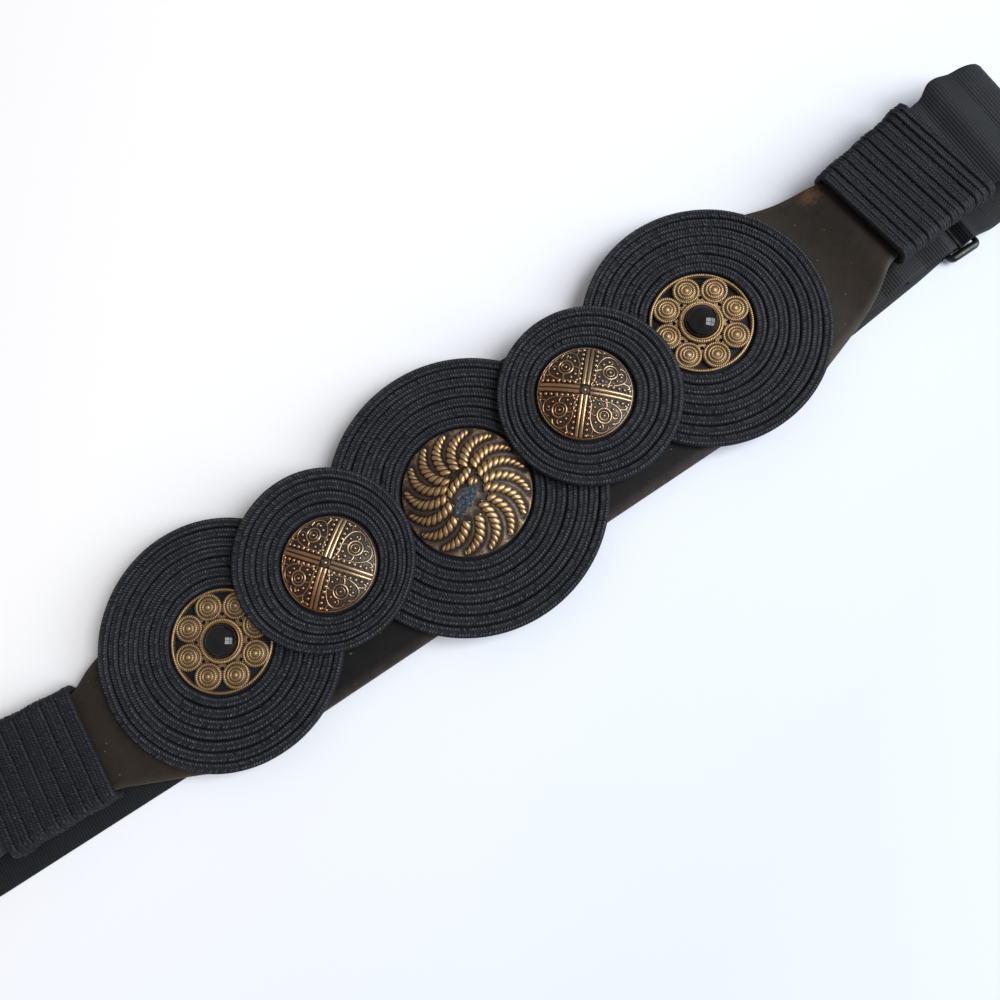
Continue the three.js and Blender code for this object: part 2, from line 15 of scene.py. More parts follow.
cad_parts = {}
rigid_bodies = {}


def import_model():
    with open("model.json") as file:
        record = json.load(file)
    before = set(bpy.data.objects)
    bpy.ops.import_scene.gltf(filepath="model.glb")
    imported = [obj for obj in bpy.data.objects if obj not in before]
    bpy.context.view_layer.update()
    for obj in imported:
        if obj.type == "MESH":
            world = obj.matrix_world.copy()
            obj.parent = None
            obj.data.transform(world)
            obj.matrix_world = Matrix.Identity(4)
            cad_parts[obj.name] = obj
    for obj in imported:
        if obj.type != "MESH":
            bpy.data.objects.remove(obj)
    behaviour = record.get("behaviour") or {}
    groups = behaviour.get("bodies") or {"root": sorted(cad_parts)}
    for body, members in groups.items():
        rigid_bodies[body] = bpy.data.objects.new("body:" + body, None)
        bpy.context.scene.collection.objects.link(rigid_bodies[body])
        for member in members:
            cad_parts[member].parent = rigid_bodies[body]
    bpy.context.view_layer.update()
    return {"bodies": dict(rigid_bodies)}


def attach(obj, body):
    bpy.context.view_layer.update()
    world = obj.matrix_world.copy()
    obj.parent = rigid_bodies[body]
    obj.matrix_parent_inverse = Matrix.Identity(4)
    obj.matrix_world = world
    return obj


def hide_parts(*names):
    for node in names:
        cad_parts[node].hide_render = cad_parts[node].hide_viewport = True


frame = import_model()

BODY = next(iter(frame["bodies"]))
MM = 0.001
FULL_TURN = 2 * math.pi

# Heights of the layers
GAP = 0.3
LEATHER_THICKNESS = 2.2
LEATHER_BASE = 4.0
LEATHER_END_RISE = 4.8
WEBBING_THICKNESS = 1.2
DISC_THICKNESS = 3.0
DISC_BED = 1.2
TIER_CLEARANCE = 0.7
LOWER_TIER = LEATHER_BASE + LEATHER_THICKNESS + GAP
UPPER_TIER = LOWER_TIER + DISC_THICKNESS + TIER_CLEARANCE

# Radii of the metalwork
FILIGREE_RADIUS = 15.65
SMALL_MEDALLION_RADIUS = 14.4
CENTRE_MEDALLION_RADIUS = 19.6
CABOCHON_RADIUS = 5.0
CABOCHON_HEIGHT = 4.6
CABOCHON_GIRDLE = 1.2
BED_CLEARANCE = 0.6
BED_RADII = {
    "filigree": FILIGREE_RADIUS + BED_CLEARANCE,
    "small": SMALL_MEDALLION_RADIUS + BED_CLEARANCE,
    "centre": CENTRE_MEDALLION_RADIUS + BED_CLEARANCE,
}

# Each disc: its centre and radius, its medallion, how far the medallion sits
# off the disc's centre, and the medallion's turn in degrees
DISC_COLUMNS = ("name", "x", "y", "radius", "kind", "off", "turn")
DISC_ROWS = [
    ("left", -84.9, 3.9, 37.5, "filigree", (0.9, 0.0), -7.5),
    ("small_left", -45.7, 6.9, 27.6, "small", (0.9, -2.4), -51),
    ("centre", 0.0, 0.0, 42.4, "centre", (0.5, 0.5), 0),
    ("small_right", 46.7, 3.8, 27.6, "small", (-1.1, 0.9), -42.5),
    ("right", 88.1, 2.6, 37.5, "filigree", (-0.8, 1.4), -11),
]
DISCS = [dict(zip(DISC_COLUMNS, row)) for row in DISC_ROWS]

# Braid: two rows of slanted stitches side by side
BRAID_PITCH = 3.06
STITCH = 0.86
STITCH_PHASES = np.array([0.0, 0.33, 0.66])
STITCH_HEIGHTS = np.array([0.0, 1.0, 0.75])
STITCH_DIP = 0.36
STITCH_SLANT = 0.62
BRAID_JITTER = 0.035

# Section of the braid from one edge up to its middle, which the other half
# mirrors: the place as a share of the half width, the height as a share of the
# thickness, how strongly the stitches show there, and how much painted
# highlight their thread gets on its crests
BRAID_ROW = [(-0.99, 0.74, 0.2, 0.0), (-0.84, 0.86, 0.6, 0.12),
             (-0.50, 1.00, 1.0, 1.0), (-0.20, 0.94, 0.7, 0.1)]
BRAID_MIDDLE = (0.0, 0.86, 0.3, 0.0)
BRAID_MIRRORED = [(-across, *levels) for across, *levels in reversed(BRAID_ROW)]
BRAID_SECTION = np.array([*BRAID_ROW, BRAID_MIDDLE, *BRAID_MIRRORED])
BRAID_UNDERSIDE = 0.86

# Unevenness of a coil in its disc: size, waves round the disc, and which of
# the coil's random phases shifts them
COIL_SWAY = [(0.10, 3, 1), (0.05, 11, 2)]
COIL_RISE = [(0.10, 4, 3), (0.04, 17, 1)]
BACKING_TOP = 0.9
BACKING_INSET = 2


class Shape:
    """Grids of points in millimetres that together make one mesh."""

    def __init__(self):
        self.points = []
        self.faces = []
        self.relief = []
        self.marks = []
        self.count = 0

    def add(self, grid, relief=1.0, loop_along=False, loop_across=False, caps=False):
        """Joins the points of a grid with faces. relief is 0 in a hollow and 1 on a crest."""
        rows, columns = grid.shape[:2]
        index = np.arange(rows * columns).reshape(rows, columns) + self.count
        if caps:
            self.faces.append(index[0].tolist())
            self.faces.append(index[-1].tolist()[::-1])
        if loop_along:
            index = np.vstack([index, index[:1]])
        if loop_across:
            index = np.hstack([index, index[:, :1]])
        quads = np.stack([index[:-1, :-1], index[:-1, 1:], index[1:, 1:], index[1:, :-1]], axis=-1)
        self.faces.extend(quads.reshape(-1, 4).tolist())
        self.points.append(grid.reshape(-1, 3))
        self.relief.append(np.broadcast_to(relief, (rows, columns)).ravel())
        self.count += rows * columns

    def join(self, other):
        """Takes in the parts of another shape."""
        self.points += other.points
        self.relief += other.relief
        self.marks += other.marks
        self.faces += [[corner + self.count for corner in face] for face in other.faces]
        self.count += other.count

    def hollow(self, ground, reach):
        """Relief of ground points: 0 beside what is marked and 1 at a distance. The paint turns this into
        painted shade beside the ornaments, on top of the dark patina of the hollows.
        """
        marks = np.concatenate(self.marks)
        result = np.empty(ground.shape[:2])
        for row, points in enumerate(ground):
            apart = np.linalg.norm(points[:, None, :2] - marks[None, :, :2], axis=-1) - marks[None, :, 3]
            result[row] = np.clip(apart.min(axis=1) / reach, 0, 1)
        return result

    def move(self, x, y, z, turn=0.0):
        """Turns everything about Z by degrees, and then shifts it."""
        c = math.cos(math.radians(turn))
        s = math.sin(math.radians(turn))
        spin = np.array([(c, s, 0), (-s, c, 0), (0, 0, 1)])
        self.points = [points @ spin + (x, y, z) for points in self.points]
        self.marks = [np.hstack([marks[:, :3] @ spin + (x, y, z), marks[:, 3:]]) for marks in self.marks]


def make_piece(name, shape, material, nodes, sharp=50):
    """Turns a shape into a piece that stands for CAD nodes."""
    mesh = bpy.data.meshes.new(name)
    mesh.from_pydata((np.concatenate(shape.points) * MM).tolist(), [], shape.faces)
    relief = mesh.attributes.new("relief", "FLOAT", "POINT")
    relief.data.foreach_set("value", np.concatenate(shape.relief).astype(np.float32))
    work = bmesh.new()
    work.from_mesh(mesh)
    bmesh.ops.remove_doubles(work, verts=work.verts, dist=1e-6)
    bmesh.ops.recalc_face_normals(work, faces=work.faces)
    work.to_mesh(mesh)
    work.free()
    mesh.shade_smooth()
    mesh.set_sharp_from_angle(angle=math.radians(sharp))
    mesh.materials.append(material)
    piece = bpy.data.objects.new(name, mesh)
    bpy.context.scene.collection.objects.link(piece)
    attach(piece, BODY)
    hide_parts(*nodes)
    return piece


def turned(profile, segments):
    """Grid of a turned piece about Z, from pairs of radius and height."""
    profile = np.array(profile, float)
    angle = np.arange(segments)[:, None] * FULL_TURN / segments
    return np.stack([
        profile[:, 0] * np.cos(angle),
        profile[:, 0] * np.sin(angle),
        profile[:, 1] + 0 * angle,
    ], axis=-1)


def smooth_curve(points, step):
    """Points a step apart along a smooth curve through a few points."""
    points = np.array(points, float)
    ends = [2 * points[0] - points[1], *points, 2 * points[-1] - points[-2]]
    fine = []
    for a, b, c, d in zip(ends[:-3], ends[1:-2], ends[2:-1], ends[3:]):
        t = np.linspace(0, 1, 12, endpoint=False)[:, None]
        fine.append(0.5 * (2 * b + (c - a) * t + (2 * a - 5 * b + 4 * c - d) * t**2
                           + (3 * b - a - 3 * c + d) * t**3))
    fine = np.vstack([*fine, points[-1:]])
    length = np.r_[0, np.cumsum(np.linalg.norm(np.diff(fine, axis=0), axis=1))]
    places = np.linspace(0, length[-1], max(3, round(length[-1] / step) + 1))
    return np.stack([np.interp(places, length, fine[:, axis]) for axis in range(3)], axis=-1)


def ring_path(radius, step, height=0.0):
    """Points round a level circle."""
    count = max(8, round(FULL_TURN * radius / step))
    angle = np.arange(count) * FULL_TURN / count
    return np.stack([radius * np.cos(angle), radius * np.sin(angle), height + 0 * angle], axis=-1)


def add_wire(shape, path, radius, sides=8, closed=False, lay=0.0, strands=2, depth=0.3, flat=1.0, dull=1.0):
    """Round wire along a path. With a lay, the length of one strand's bump, it
    is twisted or milled. radius and lay may hold a number for each point.
    flat squeezes the wire in height, and dull darkens it."""
    if closed:
        tangent = np.roll(path, -1, axis=0) - np.roll(path, 1, axis=0)
        steps = np.full(len(path), np.linalg.norm(path[1] - path[0]))
    else:
        tangent = np.gradient(path, axis=0)
        steps = np.r_[0, np.linalg.norm(np.diff(path, axis=0), axis=1)]
    tangent /= np.linalg.norm(tangent, axis=1)[:, None]
    side = np.cross(tangent, (0, 0, 1.0))
    side /= np.linalg.norm(side, axis=1)[:, None]
    lift = np.cross(side, tangent)
    around = (np.arange(sides) + 0.5) * FULL_TURN / sides - math.pi / 2
    lobe = np.ones((len(path), sides))
    if np.any(lay):
        bumps = np.cumsum(steps / lay)
        if closed:
            bumps *= round(bumps[-1]) / bumps[-1]
        lobe = np.abs(np.cos(0.5 * strands * around[None, :] - math.pi * bumps[:, None])) ** 0.6
    reach = np.broadcast_to(radius, len(path))[:, None] * (1 - depth * (1 - lobe))
    grid = (path[:, None, :]
            + side[:, None, :] * (reach * np.cos(around))[..., None]
            + lift[:, None, :] * (flat * reach * np.sin(around))[..., None])
    relief = dull * np.clip(0.55 + 0.45 * np.sin(around), 0, 1) * np.clip(1.25 * lobe - 0.25, 0, 1)
    shape.add(grid, relief, loop_along=closed, loop_across=True, caps=not closed)
    shape.marks.append(np.hstack([path, np.broadcast_to(radius, len(path))[:, None]]))


def add_bead(shape, x, y, z, radius, segments=8, flat=1.0, relief=1.0):
    """Small round bead whose lower half is sunk."""
    rise = np.linspace(-0.5, 1, 5) * math.pi / 2
    profile = [(radius * math.cos(angle), flat * radius * math.sin(angle)) for angle in rise]
    profile = [(0.0, profile[0][1]), *profile]
    shape.add(turned(profile, segments) + (x, y, z), relief, loop_along=True)
    shape.marks.append(np.array([(x, y, z, radius)]))


def add_braid(shape, place, length, width, thickness, seed, loop=True, edge_depth=None, gleam=1.0):
    """Length of braid. place(along, across, height) gives its points, and
    edge_depth(along) the heights of its two edges as shares of the thickness."""
    rng = np.random.default_rng(seed)
    stitches = round(length / STITCH)
    pitch = length / stitches
    number, phase = np.meshgrid(np.arange(stitches), STITCH_PHASES, indexing="ij")
    crest = np.tile(STITCH_HEIGHTS, stitches)
    along = (number + phase).ravel() * pitch
    across, height, stitched, bright = BRAID_SECTION.T
    late = np.where(across > 0, 0.5, np.where(across == 0, 0.25, 0.0))
    along = along[:, None] + (late * pitch + STITCH_SLANT * (1 - np.abs(across)))[None, :]
    rows = np.where(across < 0, 0, 1)
    uneven = rng.normal(0, BRAID_JITTER, (stitches, 2))[number.ravel()][:, rows]
    level = np.broadcast_to(height, along.shape).copy()
    if edge_depth is not None:
        near, far = edge_depth(along[:, 0])
        level[:, 0], level[:, 1] = near, (near + 1) / 2 + 0.05
        level[:, -1], level[:, -2] = far, (far + 1) / 2 + 0.05
    dip = STITCH_DIP * (1 - crest[:, None]) * stitched
    top = place(along, across * width / 2, thickness * (level + uneven * stitched) - dip)
    foot = np.stack([along[:, -1], along[:, 0]], axis=1)
    sides = np.array([BRAID_UNDERSIDE, -BRAID_UNDERSIDE]) * width / 2
    bottom = place(foot, sides, np.zeros_like(foot))
    # glint is a painted highlight: the braid's paint brightens the stitch crests by it
    glint = gleam * np.clip(crest[:, None] * bright * (1 + uneven * 8), 0, 1.3) * (level > 0.7)
    relief = np.hstack([glint, np.zeros((len(glint), 2))])
    shape.add(np.hstack([top, bottom]), relief, loop_along=loop, loop_across=True, caps=not loop)


def tier_of(disc):
    return UPPER_TIER if disc["kind"] == "small" else LOWER_TIER


def waves(table, angle, phases):
    return sum(size * np.sin(count * angle + phases[number]) for size, count, number in table)


def make_disc(disc, seed, material):
    """Braid coiled edge to edge round the bed that holds the medallion."""
    radius = disc["radius"]
    bed = BED_RADII[disc["kind"]]
    turns = round((radius - bed) / BRAID_PITCH)
    pitch = (radius - bed) / turns
    rng = np.random.default_rng(seed)
    shape = Shape()
    for turn in range(turns):
        middle = bed + (turn + 0.5) * pitch
        phases = rng.uniform(0, FULL_TURN, 4)

        def place(along, across, height, middle=middle, phases=phases):
            angle = along / middle + phases[0]
            away = middle + across
            share = (radius - away) / (radius - bed)
            away = away + waves(COIL_SWAY, angle, phases) * np.clip(share * 6, 0, 1)
            rise = waves(COIL_RISE, angle, phases)
            return np.stack([
                share * disc["off"][0] + away * np.cos(angle),
                share * disc["off"][1] + away * np.sin(angle),
                height * (1 + rise / DISC_THICKNESS),
            ], axis=-1)

        add_braid(shape, place, FULL_TURN * middle, pitch, DISC_THICKNESS, seed * 100 + turn)
    edge = radius - BACKING_INSET
    backing = [(0, 0.1), (edge, 0.1), (edge, BACKING_TOP), (bed + 1, BACKING_TOP),
               (bed + 0.3, DISC_BED), (0, DISC_BED)]
    shape.add(turned(backing, 96), 0.0, loop_along=True)
    shape.move(disc["x"], disc["y"], tier_of(disc))
    return make_piece(f"braid_disc_{disc['name']}", shape, material, [f"disc_{disc['name']}"], 75)


# Wraps: braid wound round the ends of the leather and the webbing in them
WRAP_LENGTH = 36.5
WRAP_WINDINGS = 15
WRAP_BRAID = 2.0
WRAP_SLOT_HEIGHT = LEATHER_THICKNESS + WEBBING_THICKNESS + 3 * GAP
WRAP_SLOT_HALF_WIDTHS = (16.5, 17.6)
WRAP_SLOT_CORNER = 0.9
WRAP_SWELL = 0.5
WRAP_LAST_WINDINGS = 2.6
WRAP_UNEVEN = 0.12
# Strength of the painted highlight on the wraps' stitch crests
WRAP_GLEAM = 0.6
# Edges of the windings, as shares of the braid's thickness: how high the deep
# ones lie, and how much higher the others stand
WRAP_DEEP_EDGE = 0.36
WRAP_EDGE_STEP = 0.44
WRAPS = [
    {"name": "left", "x": -130.4, "y": 0.6, "lift": 0, "heading": 174.8},
    {"name": "right", "x": 142.2, "y": 2.9, "lift": 1, "heading": 5.5},
]


def slot_path():
    """Round the slot's section from the middle of its underside: distances,
    places and the ways outwards."""
    half_width = WRAP_SLOT_HALF_WIDTHS[0] - WRAP_SLOT_CORNER
    half_height = WRAP_SLOT_HEIGHT / 2 - WRAP_SLOT_CORNER
    points, normals = [(0, -WRAP_SLOT_HEIGHT / 2)], [(0, -1)]
    for quarter, (side_y, side_z) in enumerate([(1, -1), (1, 1), (-1, 1), (-1, -1)]):
        for angle in np.radians(np.linspace(-90, 0, 9) + 90 * quarter):
            way = (math.cos(angle), math.sin(angle))
            points.append((side_y * half_width + WRAP_SLOT_CORNER * way[0],
                           side_z * half_height + WRAP_SLOT_CORNER * way[1]))
            normals.append(way)
    points.append((0, -WRAP_SLOT_HEIGHT / 2))
    normals.append((0, -1))
    points = np.array(points)
    distance = np.r_[0, np.cumsum(np.linalg.norm(np.diff(points, axis=0), axis=1))]
    return distance, points, np.array(normals)


def make_wrap(wrap, seed, material):
    distance, points, normals = slot_path()
    # The braid's middle runs outside the slot, so a winding is a little longer
    winding = distance[-1] + math.pi * WRAP_BRAID
    pitch = WRAP_LENGTH / WRAP_WINDINGS

    def place(along, across, height):
        turns = np.clip(along / winding, 0, WRAP_WINDINGS)
        spot = (turns % 1) * distance[-1]
        out_y = np.interp(spot, distance, normals[:, 0])
        out_z = np.interp(spot, distance, normals[:, 1])
        x = turns * (WRAP_LENGTH - pitch) / WRAP_WINDINGS + pitch / 2 + across
        share = x / WRAP_LENGTH
        wide = np.interp(share, (0, 1), WRAP_SLOT_HALF_WIDTHS) / WRAP_SLOT_HALF_WIDTHS[0]
        swell = WRAP_SWELL * np.clip((turns - (WRAP_WINDINGS - WRAP_LAST_WINDINGS)) * 2, 0, 1)
        rise = height + swell * (height > 0) + WRAP_UNEVEN * np.sin(turns * 5.1 + 3) * (height > 0)
        return np.stack([
            x,
            np.interp(spot, distance, points[:, 0]) * wide + out_y * rise,
            np.interp(spot, distance, points[:, 1]) + out_z * rise,
        ], axis=-1)

    def edge_depth(along):
        odd = np.floor(along / winding) % 2
        raised = WRAP_DEEP_EDGE + WRAP_EDGE_STEP
        return WRAP_DEEP_EDGE + WRAP_EDGE_STEP * odd, raised - WRAP_EDGE_STEP * odd

    shape = Shape()
    length = winding * WRAP_WINDINGS
    add_braid(shape, place, length, pitch, WRAP_BRAID, seed, False, edge_depth, WRAP_GLEAM)
    slot_floor = LEATHER_BASE - GAP + wrap["lift"] * LEATHER_END_RISE
    shape.move(wrap["x"], wrap["y"], slot_floor + WRAP_SLOT_HEIGHT / 2, wrap["heading"])
    return make_piece(f"braid_wrap_{wrap['name']}", shape, material, [f"wrap_{wrap['name']}"], 75)


# Cuts across the leather: the place along the belt, its two edges, and the
# share of the rise to the right-hand wrap
LEATHER_SECTIONS = [
    (-155.5, -13.4, 19.1, 0),
    (-131.0, -15.6, 16.8, 0),
    (-129.0, -16.8, 17.9, 0),
    (-124.0, -19.0, 20.6, 0),
    (-114.0, -23.4, 23.8, 0),
    (-105.0, -27.6, 27.4, 0),
    (-97.0, -30.0, 30.0, 0),
    (102.0, -30.0, 30.0, 0),
    (109.0, -28.6, 29.0, 0),
    (117.0, -26.0, 26.8, 0),
    (126.0, -23.0, 23.6, 0),
    (131.0, -20.9, 22.2, 0.22),
    (136.0, -18.2, 21.2, 0.55),
    (141.0, -14.5, 20.0, 1),
    (143.0, -13.1, 19.1, 1),
    (167.0, -11.0, 21.4, 1),
]
LEATHER_STEP = 1.5
# Section of the cut edge from the underside up: inset and height
LEATHER_EDGE = [(0.55, 0.0), (0.12, 0.35), (0.0, 0.9), (0.04, 1.5), (0.22, 1.95), (0.7, 2.17)]
LEATHER_COLUMNS = 24


def smoothed(values, reach):
    """Running average that keeps the ends."""
    padded = np.pad(values, reach, mode="edge")
    return np.convolve(padded, np.ones(2 * reach + 1) / (2 * reach + 1), mode="valid")


def make_leather(material):
    rows = np.array(LEATHER_SECTIONS, float)
    x = np.arange(rows[0, 0], rows[-1, 0] + LEATHER_STEP / 2, LEATHER_STEP)
    lower, upper = (smoothed(np.interp(x, rows[:, 0], rows[:, column]), 1) for column in (1, 2))
    base = LEATHER_BASE + LEATHER_END_RISE * smoothed(np.interp(x, rows[:, 0], rows[:, 3]), 2)
    inset, rise = np.array(LEATHER_EDGE).T
    crown = np.linspace(0, 1, LEATHER_COLUMNS)[1:-1]
    underside = crown[::-1]
    y = np.hstack([
        lower[:, None] + inset,
        lower[:, None] + inset[-1] + (upper - lower - 2 * inset[-1])[:, None] * crown,
        upper[:, None] - inset[::-1],
        lower[:, None] + inset[0] + (upper - lower - 2 * inset[0])[:, None] * underside,
    ])
    z = np.concatenate([rise, np.full(len(crown), LEATHER_THICKNESS), rise[::-1], 0 * underside])
    edge = np.concatenate([np.ones(len(inset) - 1), [0.5], np.zeros(len(crown)), [0.5],
                           np.ones(len(inset) - 1), np.zeros(len(crown))])
    grid = np.stack([np.broadcast_to(x[:, None], y.shape), y, base[:, None] + z], axis=-1)
    shape = Shape()
    shape.add(grid, edge, loop_across=True, caps=True)
    return make_piece("leather_front", shape, material, ["leather_panel"], 60)


# Elastic webbing
WEBBING_WIDTH = 38.0
NARROW_WIDTH = 35.6
ON_TABLE = WEBBING_THICKNESS / 2
ON_WEBBING = ON_TABLE + WEBBING_THICKNESS + GAP
OVER_TWO_WEBBINGS = ON_WEBBING + WEBBING_THICKNESS + GAP
EASY_BEND = 5.0
RIB = 0.9
RIB_PHASES = np.array([0.0, 0.35, 0.7])
RIB_DIP = 0.15
BEND_STEP = math.radians(6)
WEBBING_EASE = 6

# Slider: three bars across the webbing, joined by a rail past each edge
SLIDER_Y = -1.9
BAR_RADIUS = 0.8
BAR_PITCH = 4.9
RAIL_RADIUS = 1.3
RAIL_OFFSET = 19.5
SLIDER_CORNER = 1.4
AROUND_BAR = BAR_RADIUS + GAP + WEBBING_THICKNESS / 2
AROUND_LOOP = AROUND_BAR + WEBBING_THICKNESS + GAP
BAR_HEIGHT = ON_TABLE + AROUND_BAR
SLIDER_SIDES = 16
SLIDER_CORNER_STEPS = 9
LEFT_BAR = 162.3
MIDDLE_BAR = LEFT_BAR + BAR_PITCH
RIGHT_BAR = MIDDLE_BAR + BAR_PITCH

# Height of the webbing where it lies on the leather inside a wrap
LEFT_ENTRY = LEATHER_BASE + LEATHER_THICKNESS + GAP + WEBBING_THICKNESS / 2
RIGHT_ENTRY = LEFT_ENTRY + LEATHER_END_RISE

# Courses of the webbing. Each row is a bend: its centre x and z, its radius,
# its side (1 to the left of the way the course runs, -1 to the right, 0 for a
# plain point), the places across the belt at its start and end, and the width.
LEFT_COURSE = [
    (-139, LEFT_ENTRY, 0, 0, 1.4, 1.4, 30.6),
    (-168.5, LEFT_ENTRY + EASY_BEND, EASY_BEND, -1, 4.1, 4.1, 34),
    (-176, 4.0, 6, 1, 4.8, 4.8, 37),
    (-184, 14.2, EASY_BEND, -1, 5.4, 5.4, WEBBING_WIDTH),
    (-198.3, 6.1, 5.5, 1, 5.6, -0.8, WEBBING_WIDTH),
    (-180, ON_TABLE, 0, 0, -2.6, -2.6, WEBBING_WIDTH),
    (-115, ON_TABLE, 0, 0, -3.9, -3.9, WEBBING_WIDTH),
    (124, ON_TABLE, 0, 0, -4.7, -4.7, WEBBING_WIDTH),
    (152, ON_TABLE, 0, 0, -2.4, -2.4, 37.4),
    (LEFT_BAR, BAR_HEIGHT, AROUND_BAR, 1, SLIDER_Y, SLIDER_Y, NARROW_WIDTH),
    (154, ON_WEBBING + EASY_BEND, EASY_BEND, -1, -2.2, -2.2, NARROW_WIDTH),
    (147.5, ON_WEBBING, 0, 0, -2.5, -2.5, NARROW_WIDTH),
]
RIGHT_COURSE = [
    (150, RIGHT_ENTRY, 0, 0, 3.7, 3.7, 31.6),
    (179.5, RIGHT_ENTRY + EASY_BEND, EASY_BEND, 1, 6.4, 6.4, 34),
    (187, 8.4, 6, -1, 6.9, 6.9, WEBBING_WIDTH),
    (193, 18.4, EASY_BEND, 1, 5.8, 5.8, WEBBING_WIDTH),
    (197.2, 7.2, 6.6, -1, 5.4, 0.4, WEBBING_WIDTH),
    (180.5, ON_TABLE + EASY_BEND, EASY_BEND, -1, -1.0, -1.0, WEBBING_WIDTH),
    (RIGHT_BAR, BAR_HEIGHT, AROUND_BAR, 1, SLIDER_Y, SLIDER_Y, NARROW_WIDTH),
    (MIDDLE_BAR, BAR_HEIGHT, AROUND_BAR, -1, SLIDER_Y, SLIDER_Y, NARROW_WIDTH),
    (LEFT_BAR, BAR_HEIGHT, AROUND_LOOP, 1, SLIDER_Y, SLIDER_Y, NARROW_WIDTH),
    (153.5, OVER_TWO_WEBBINGS + EASY_BEND, EASY_BEND, -1, -1.5, -1.5, NARROW_WIDTH),
    (146.5, OVER_TWO_WEBBINGS - EASY_BEND, EASY_BEND, 1, -1.7, -1.7, 36.4),
    (138.5, ON_WEBBING + EASY_BEND, EASY_BEND, -1, -2.3, -2.3, 36.8),
    (82, ON_WEBBING, 0, 0, -5.0, -5.0, WEBBING_WIDTH),
]
WEBBING_SECTION = np.array([(-1, 0.0), (-0.985, 0.7), (-0.95, 1), (-0.6, 1), (-0.2, 1), (0.2, 1),
                            (0.6, 1), (0.95, 1), (0.985, 0.7), (1, 0.0)])


def follow_course(course):
    """Points along a course: x, z, heading, y and width in each row."""
    headings = []
    for here, following in zip(course, course[1:]):
        sideways = following[3] * following[2] - here[3] * here[2]
        run = following[0] - here[0]
        climb = following[1] - here[1]
        headings.append(math.atan2(climb, run) - math.asin(sideways / math.hypot(run, climb)))
    stations = []
    for number, (x, z, radius, side, y, y_end, width) in enumerate(course):
        entering = headings[max(number - 1, 0)]
        leaving = headings[min(number, len(headings) - 1)]
        bend = math.atan2(math.sin(leaving - entering), math.cos(leaving - entering))
        if side and math.copysign(1, bend) != side:
            bend += FULL_TURN * side
        steps = max(1, math.ceil(abs(bend) / BEND_STEP)) if radius else 0
        for step in range(steps + 1):
            share = step / steps if steps else 0.5
            heading = entering + bend * share
            stations.append((
                x + side * radius * math.sin(heading),
                z - side * radius * math.cos(heading),
                heading,
                y + (y_end - y) * share,
                width,
            ))
    return np.array(stations)


def make_webbing(name, course, material, node):
    stations = follow_course(course)
    distance = np.r_[0, np.cumsum(np.hypot(*np.diff(stations[:, :2], axis=0).T))]
    stations[:, 2] = np.unwrap(stations[:, 2])
    ribs = round(distance[-1] / RIB)
    number, phase = np.meshgrid(np.arange(ribs), RIB_PHASES, indexing="ij")
    valley = (phase.ravel() == 0).astype(float)
    spot = (number + phase).ravel() * distance[-1] / ribs
    x, z, heading, y, width = (np.interp(spot, distance, column) for column in stations.T)
    y = smoothed(y, WEBBING_EASE)
    width = smoothed(width, WEBBING_EASE)
    across, fullness = WEBBING_SECTION.T
    half = WEBBING_THICKNESS / 2 * fullness[None, :] - RIB_DIP * valley[:, None] * (fullness > 0)
    sides = []
    for side in (1, -1):
        sides.append(np.stack([
            x[:, None] - side * half * np.sin(heading)[:, None],
            y[:, None] + across * width[:, None] / 2,
            z[:, None] + side * half * np.cos(heading)[:, None],
        ], axis=-1))
    grid = np.hstack([sides[0], sides[1][:, -2:0:-1]])
    # Rib valleys get low relief, which the webbing's paint shows as painted shade
    relief = np.hstack([np.broadcast_to(1 - 0.8 * valley[:, None], half.shape)] * 2)[:, :grid.shape[1]]
    shape = Shape()
    shape.add(grid, relief, loop_across=True, caps=True)
    piece = make_piece(name, shape, material, [node], 60)
    return piece


def make_slider(material):
    points, outward, radii = [], [], []
    for quarter, (side_x, side_y) in enumerate([(1, 1), (-1, 1), (-1, -1), (1, -1)]):
        for share in np.linspace(0, 1, SLIDER_CORNER_STEPS):
            angle = (quarter + share) * math.pi / 2
            points.append((side_x * (BAR_PITCH - SLIDER_CORNER) + SLIDER_CORNER * math.cos(angle),
                           side_y * (RAIL_OFFSET - SLIDER_CORNER) + SLIDER_CORNER * math.sin(angle), 0))
            outward.append((math.cos(angle), math.sin(angle), 0))
            radii.append(BAR_RADIUS + (RAIL_RADIUS - BAR_RADIUS) * abs(math.sin(angle)))
    around = np.arange(SLIDER_SIDES) * FULL_TURN / SLIDER_SIDES
    reach = np.array(radii)[:, None] * np.cos(around)
    grid = np.array(points)[:, None, :] + np.array(outward)[:, None, :] * reach[..., None]
    grid[..., 2] += np.array(radii)[:, None] * np.sin(around)
    shape = Shape()
    shape.add(grid, 1.0, loop_along=True, loop_across=True)
    bar = smooth_curve([(0, -RAIL_OFFSET, 0), (0, 0, 0), (0, RAIL_OFFSET, 0)], 2)
    add_wire(shape, bar, BAR_RADIUS, SLIDER_SIDES)
    shape.move(MIDDLE_BAR, SLIDER_Y, BAR_HEIGHT)
    return make_piece("slider_frame", shape, material, ["slider"])


# Filigree plate: rosettes of milled wire between a rim and the stone's collar
ROSETTE_COUNT = 8
ROSETTE_ORBIT = 10.95
ROSETTE_CONE = [(0, 0), (4.1, 0), (4.15, 0.7), (3.4, 0.85), (2.4, 1.25), (1.6, 1.5), (0.8, 1.8), (0, 1.85)]
# Coils of a rosette: radius, height, thickness, depth of the milling, and brightness
ROSETTE_COILS = [
    (3.60, 0.84, 0.64, 0.5, 0.72),
    (2.36, 1.24, 0.50, 0.3, 0.9),
    (1.44, 1.56, 0.38, 0.2, 1.0),
]
FILIGREE_BASE = 0.9
MILLING = 0.58
RIM_BED = [(14.5, 0), (15.5, 0), (15.5, 0.7), (14.5, 0.7), (14.5, 0)]
COLLAR = [(0, 0.1), (6.7, 0.1), (6.75, 0.9), (6.2, 1.5), (5.6, 1.9), (5.3, 1.9), (5.3, 0.9), (0, 0.9)]
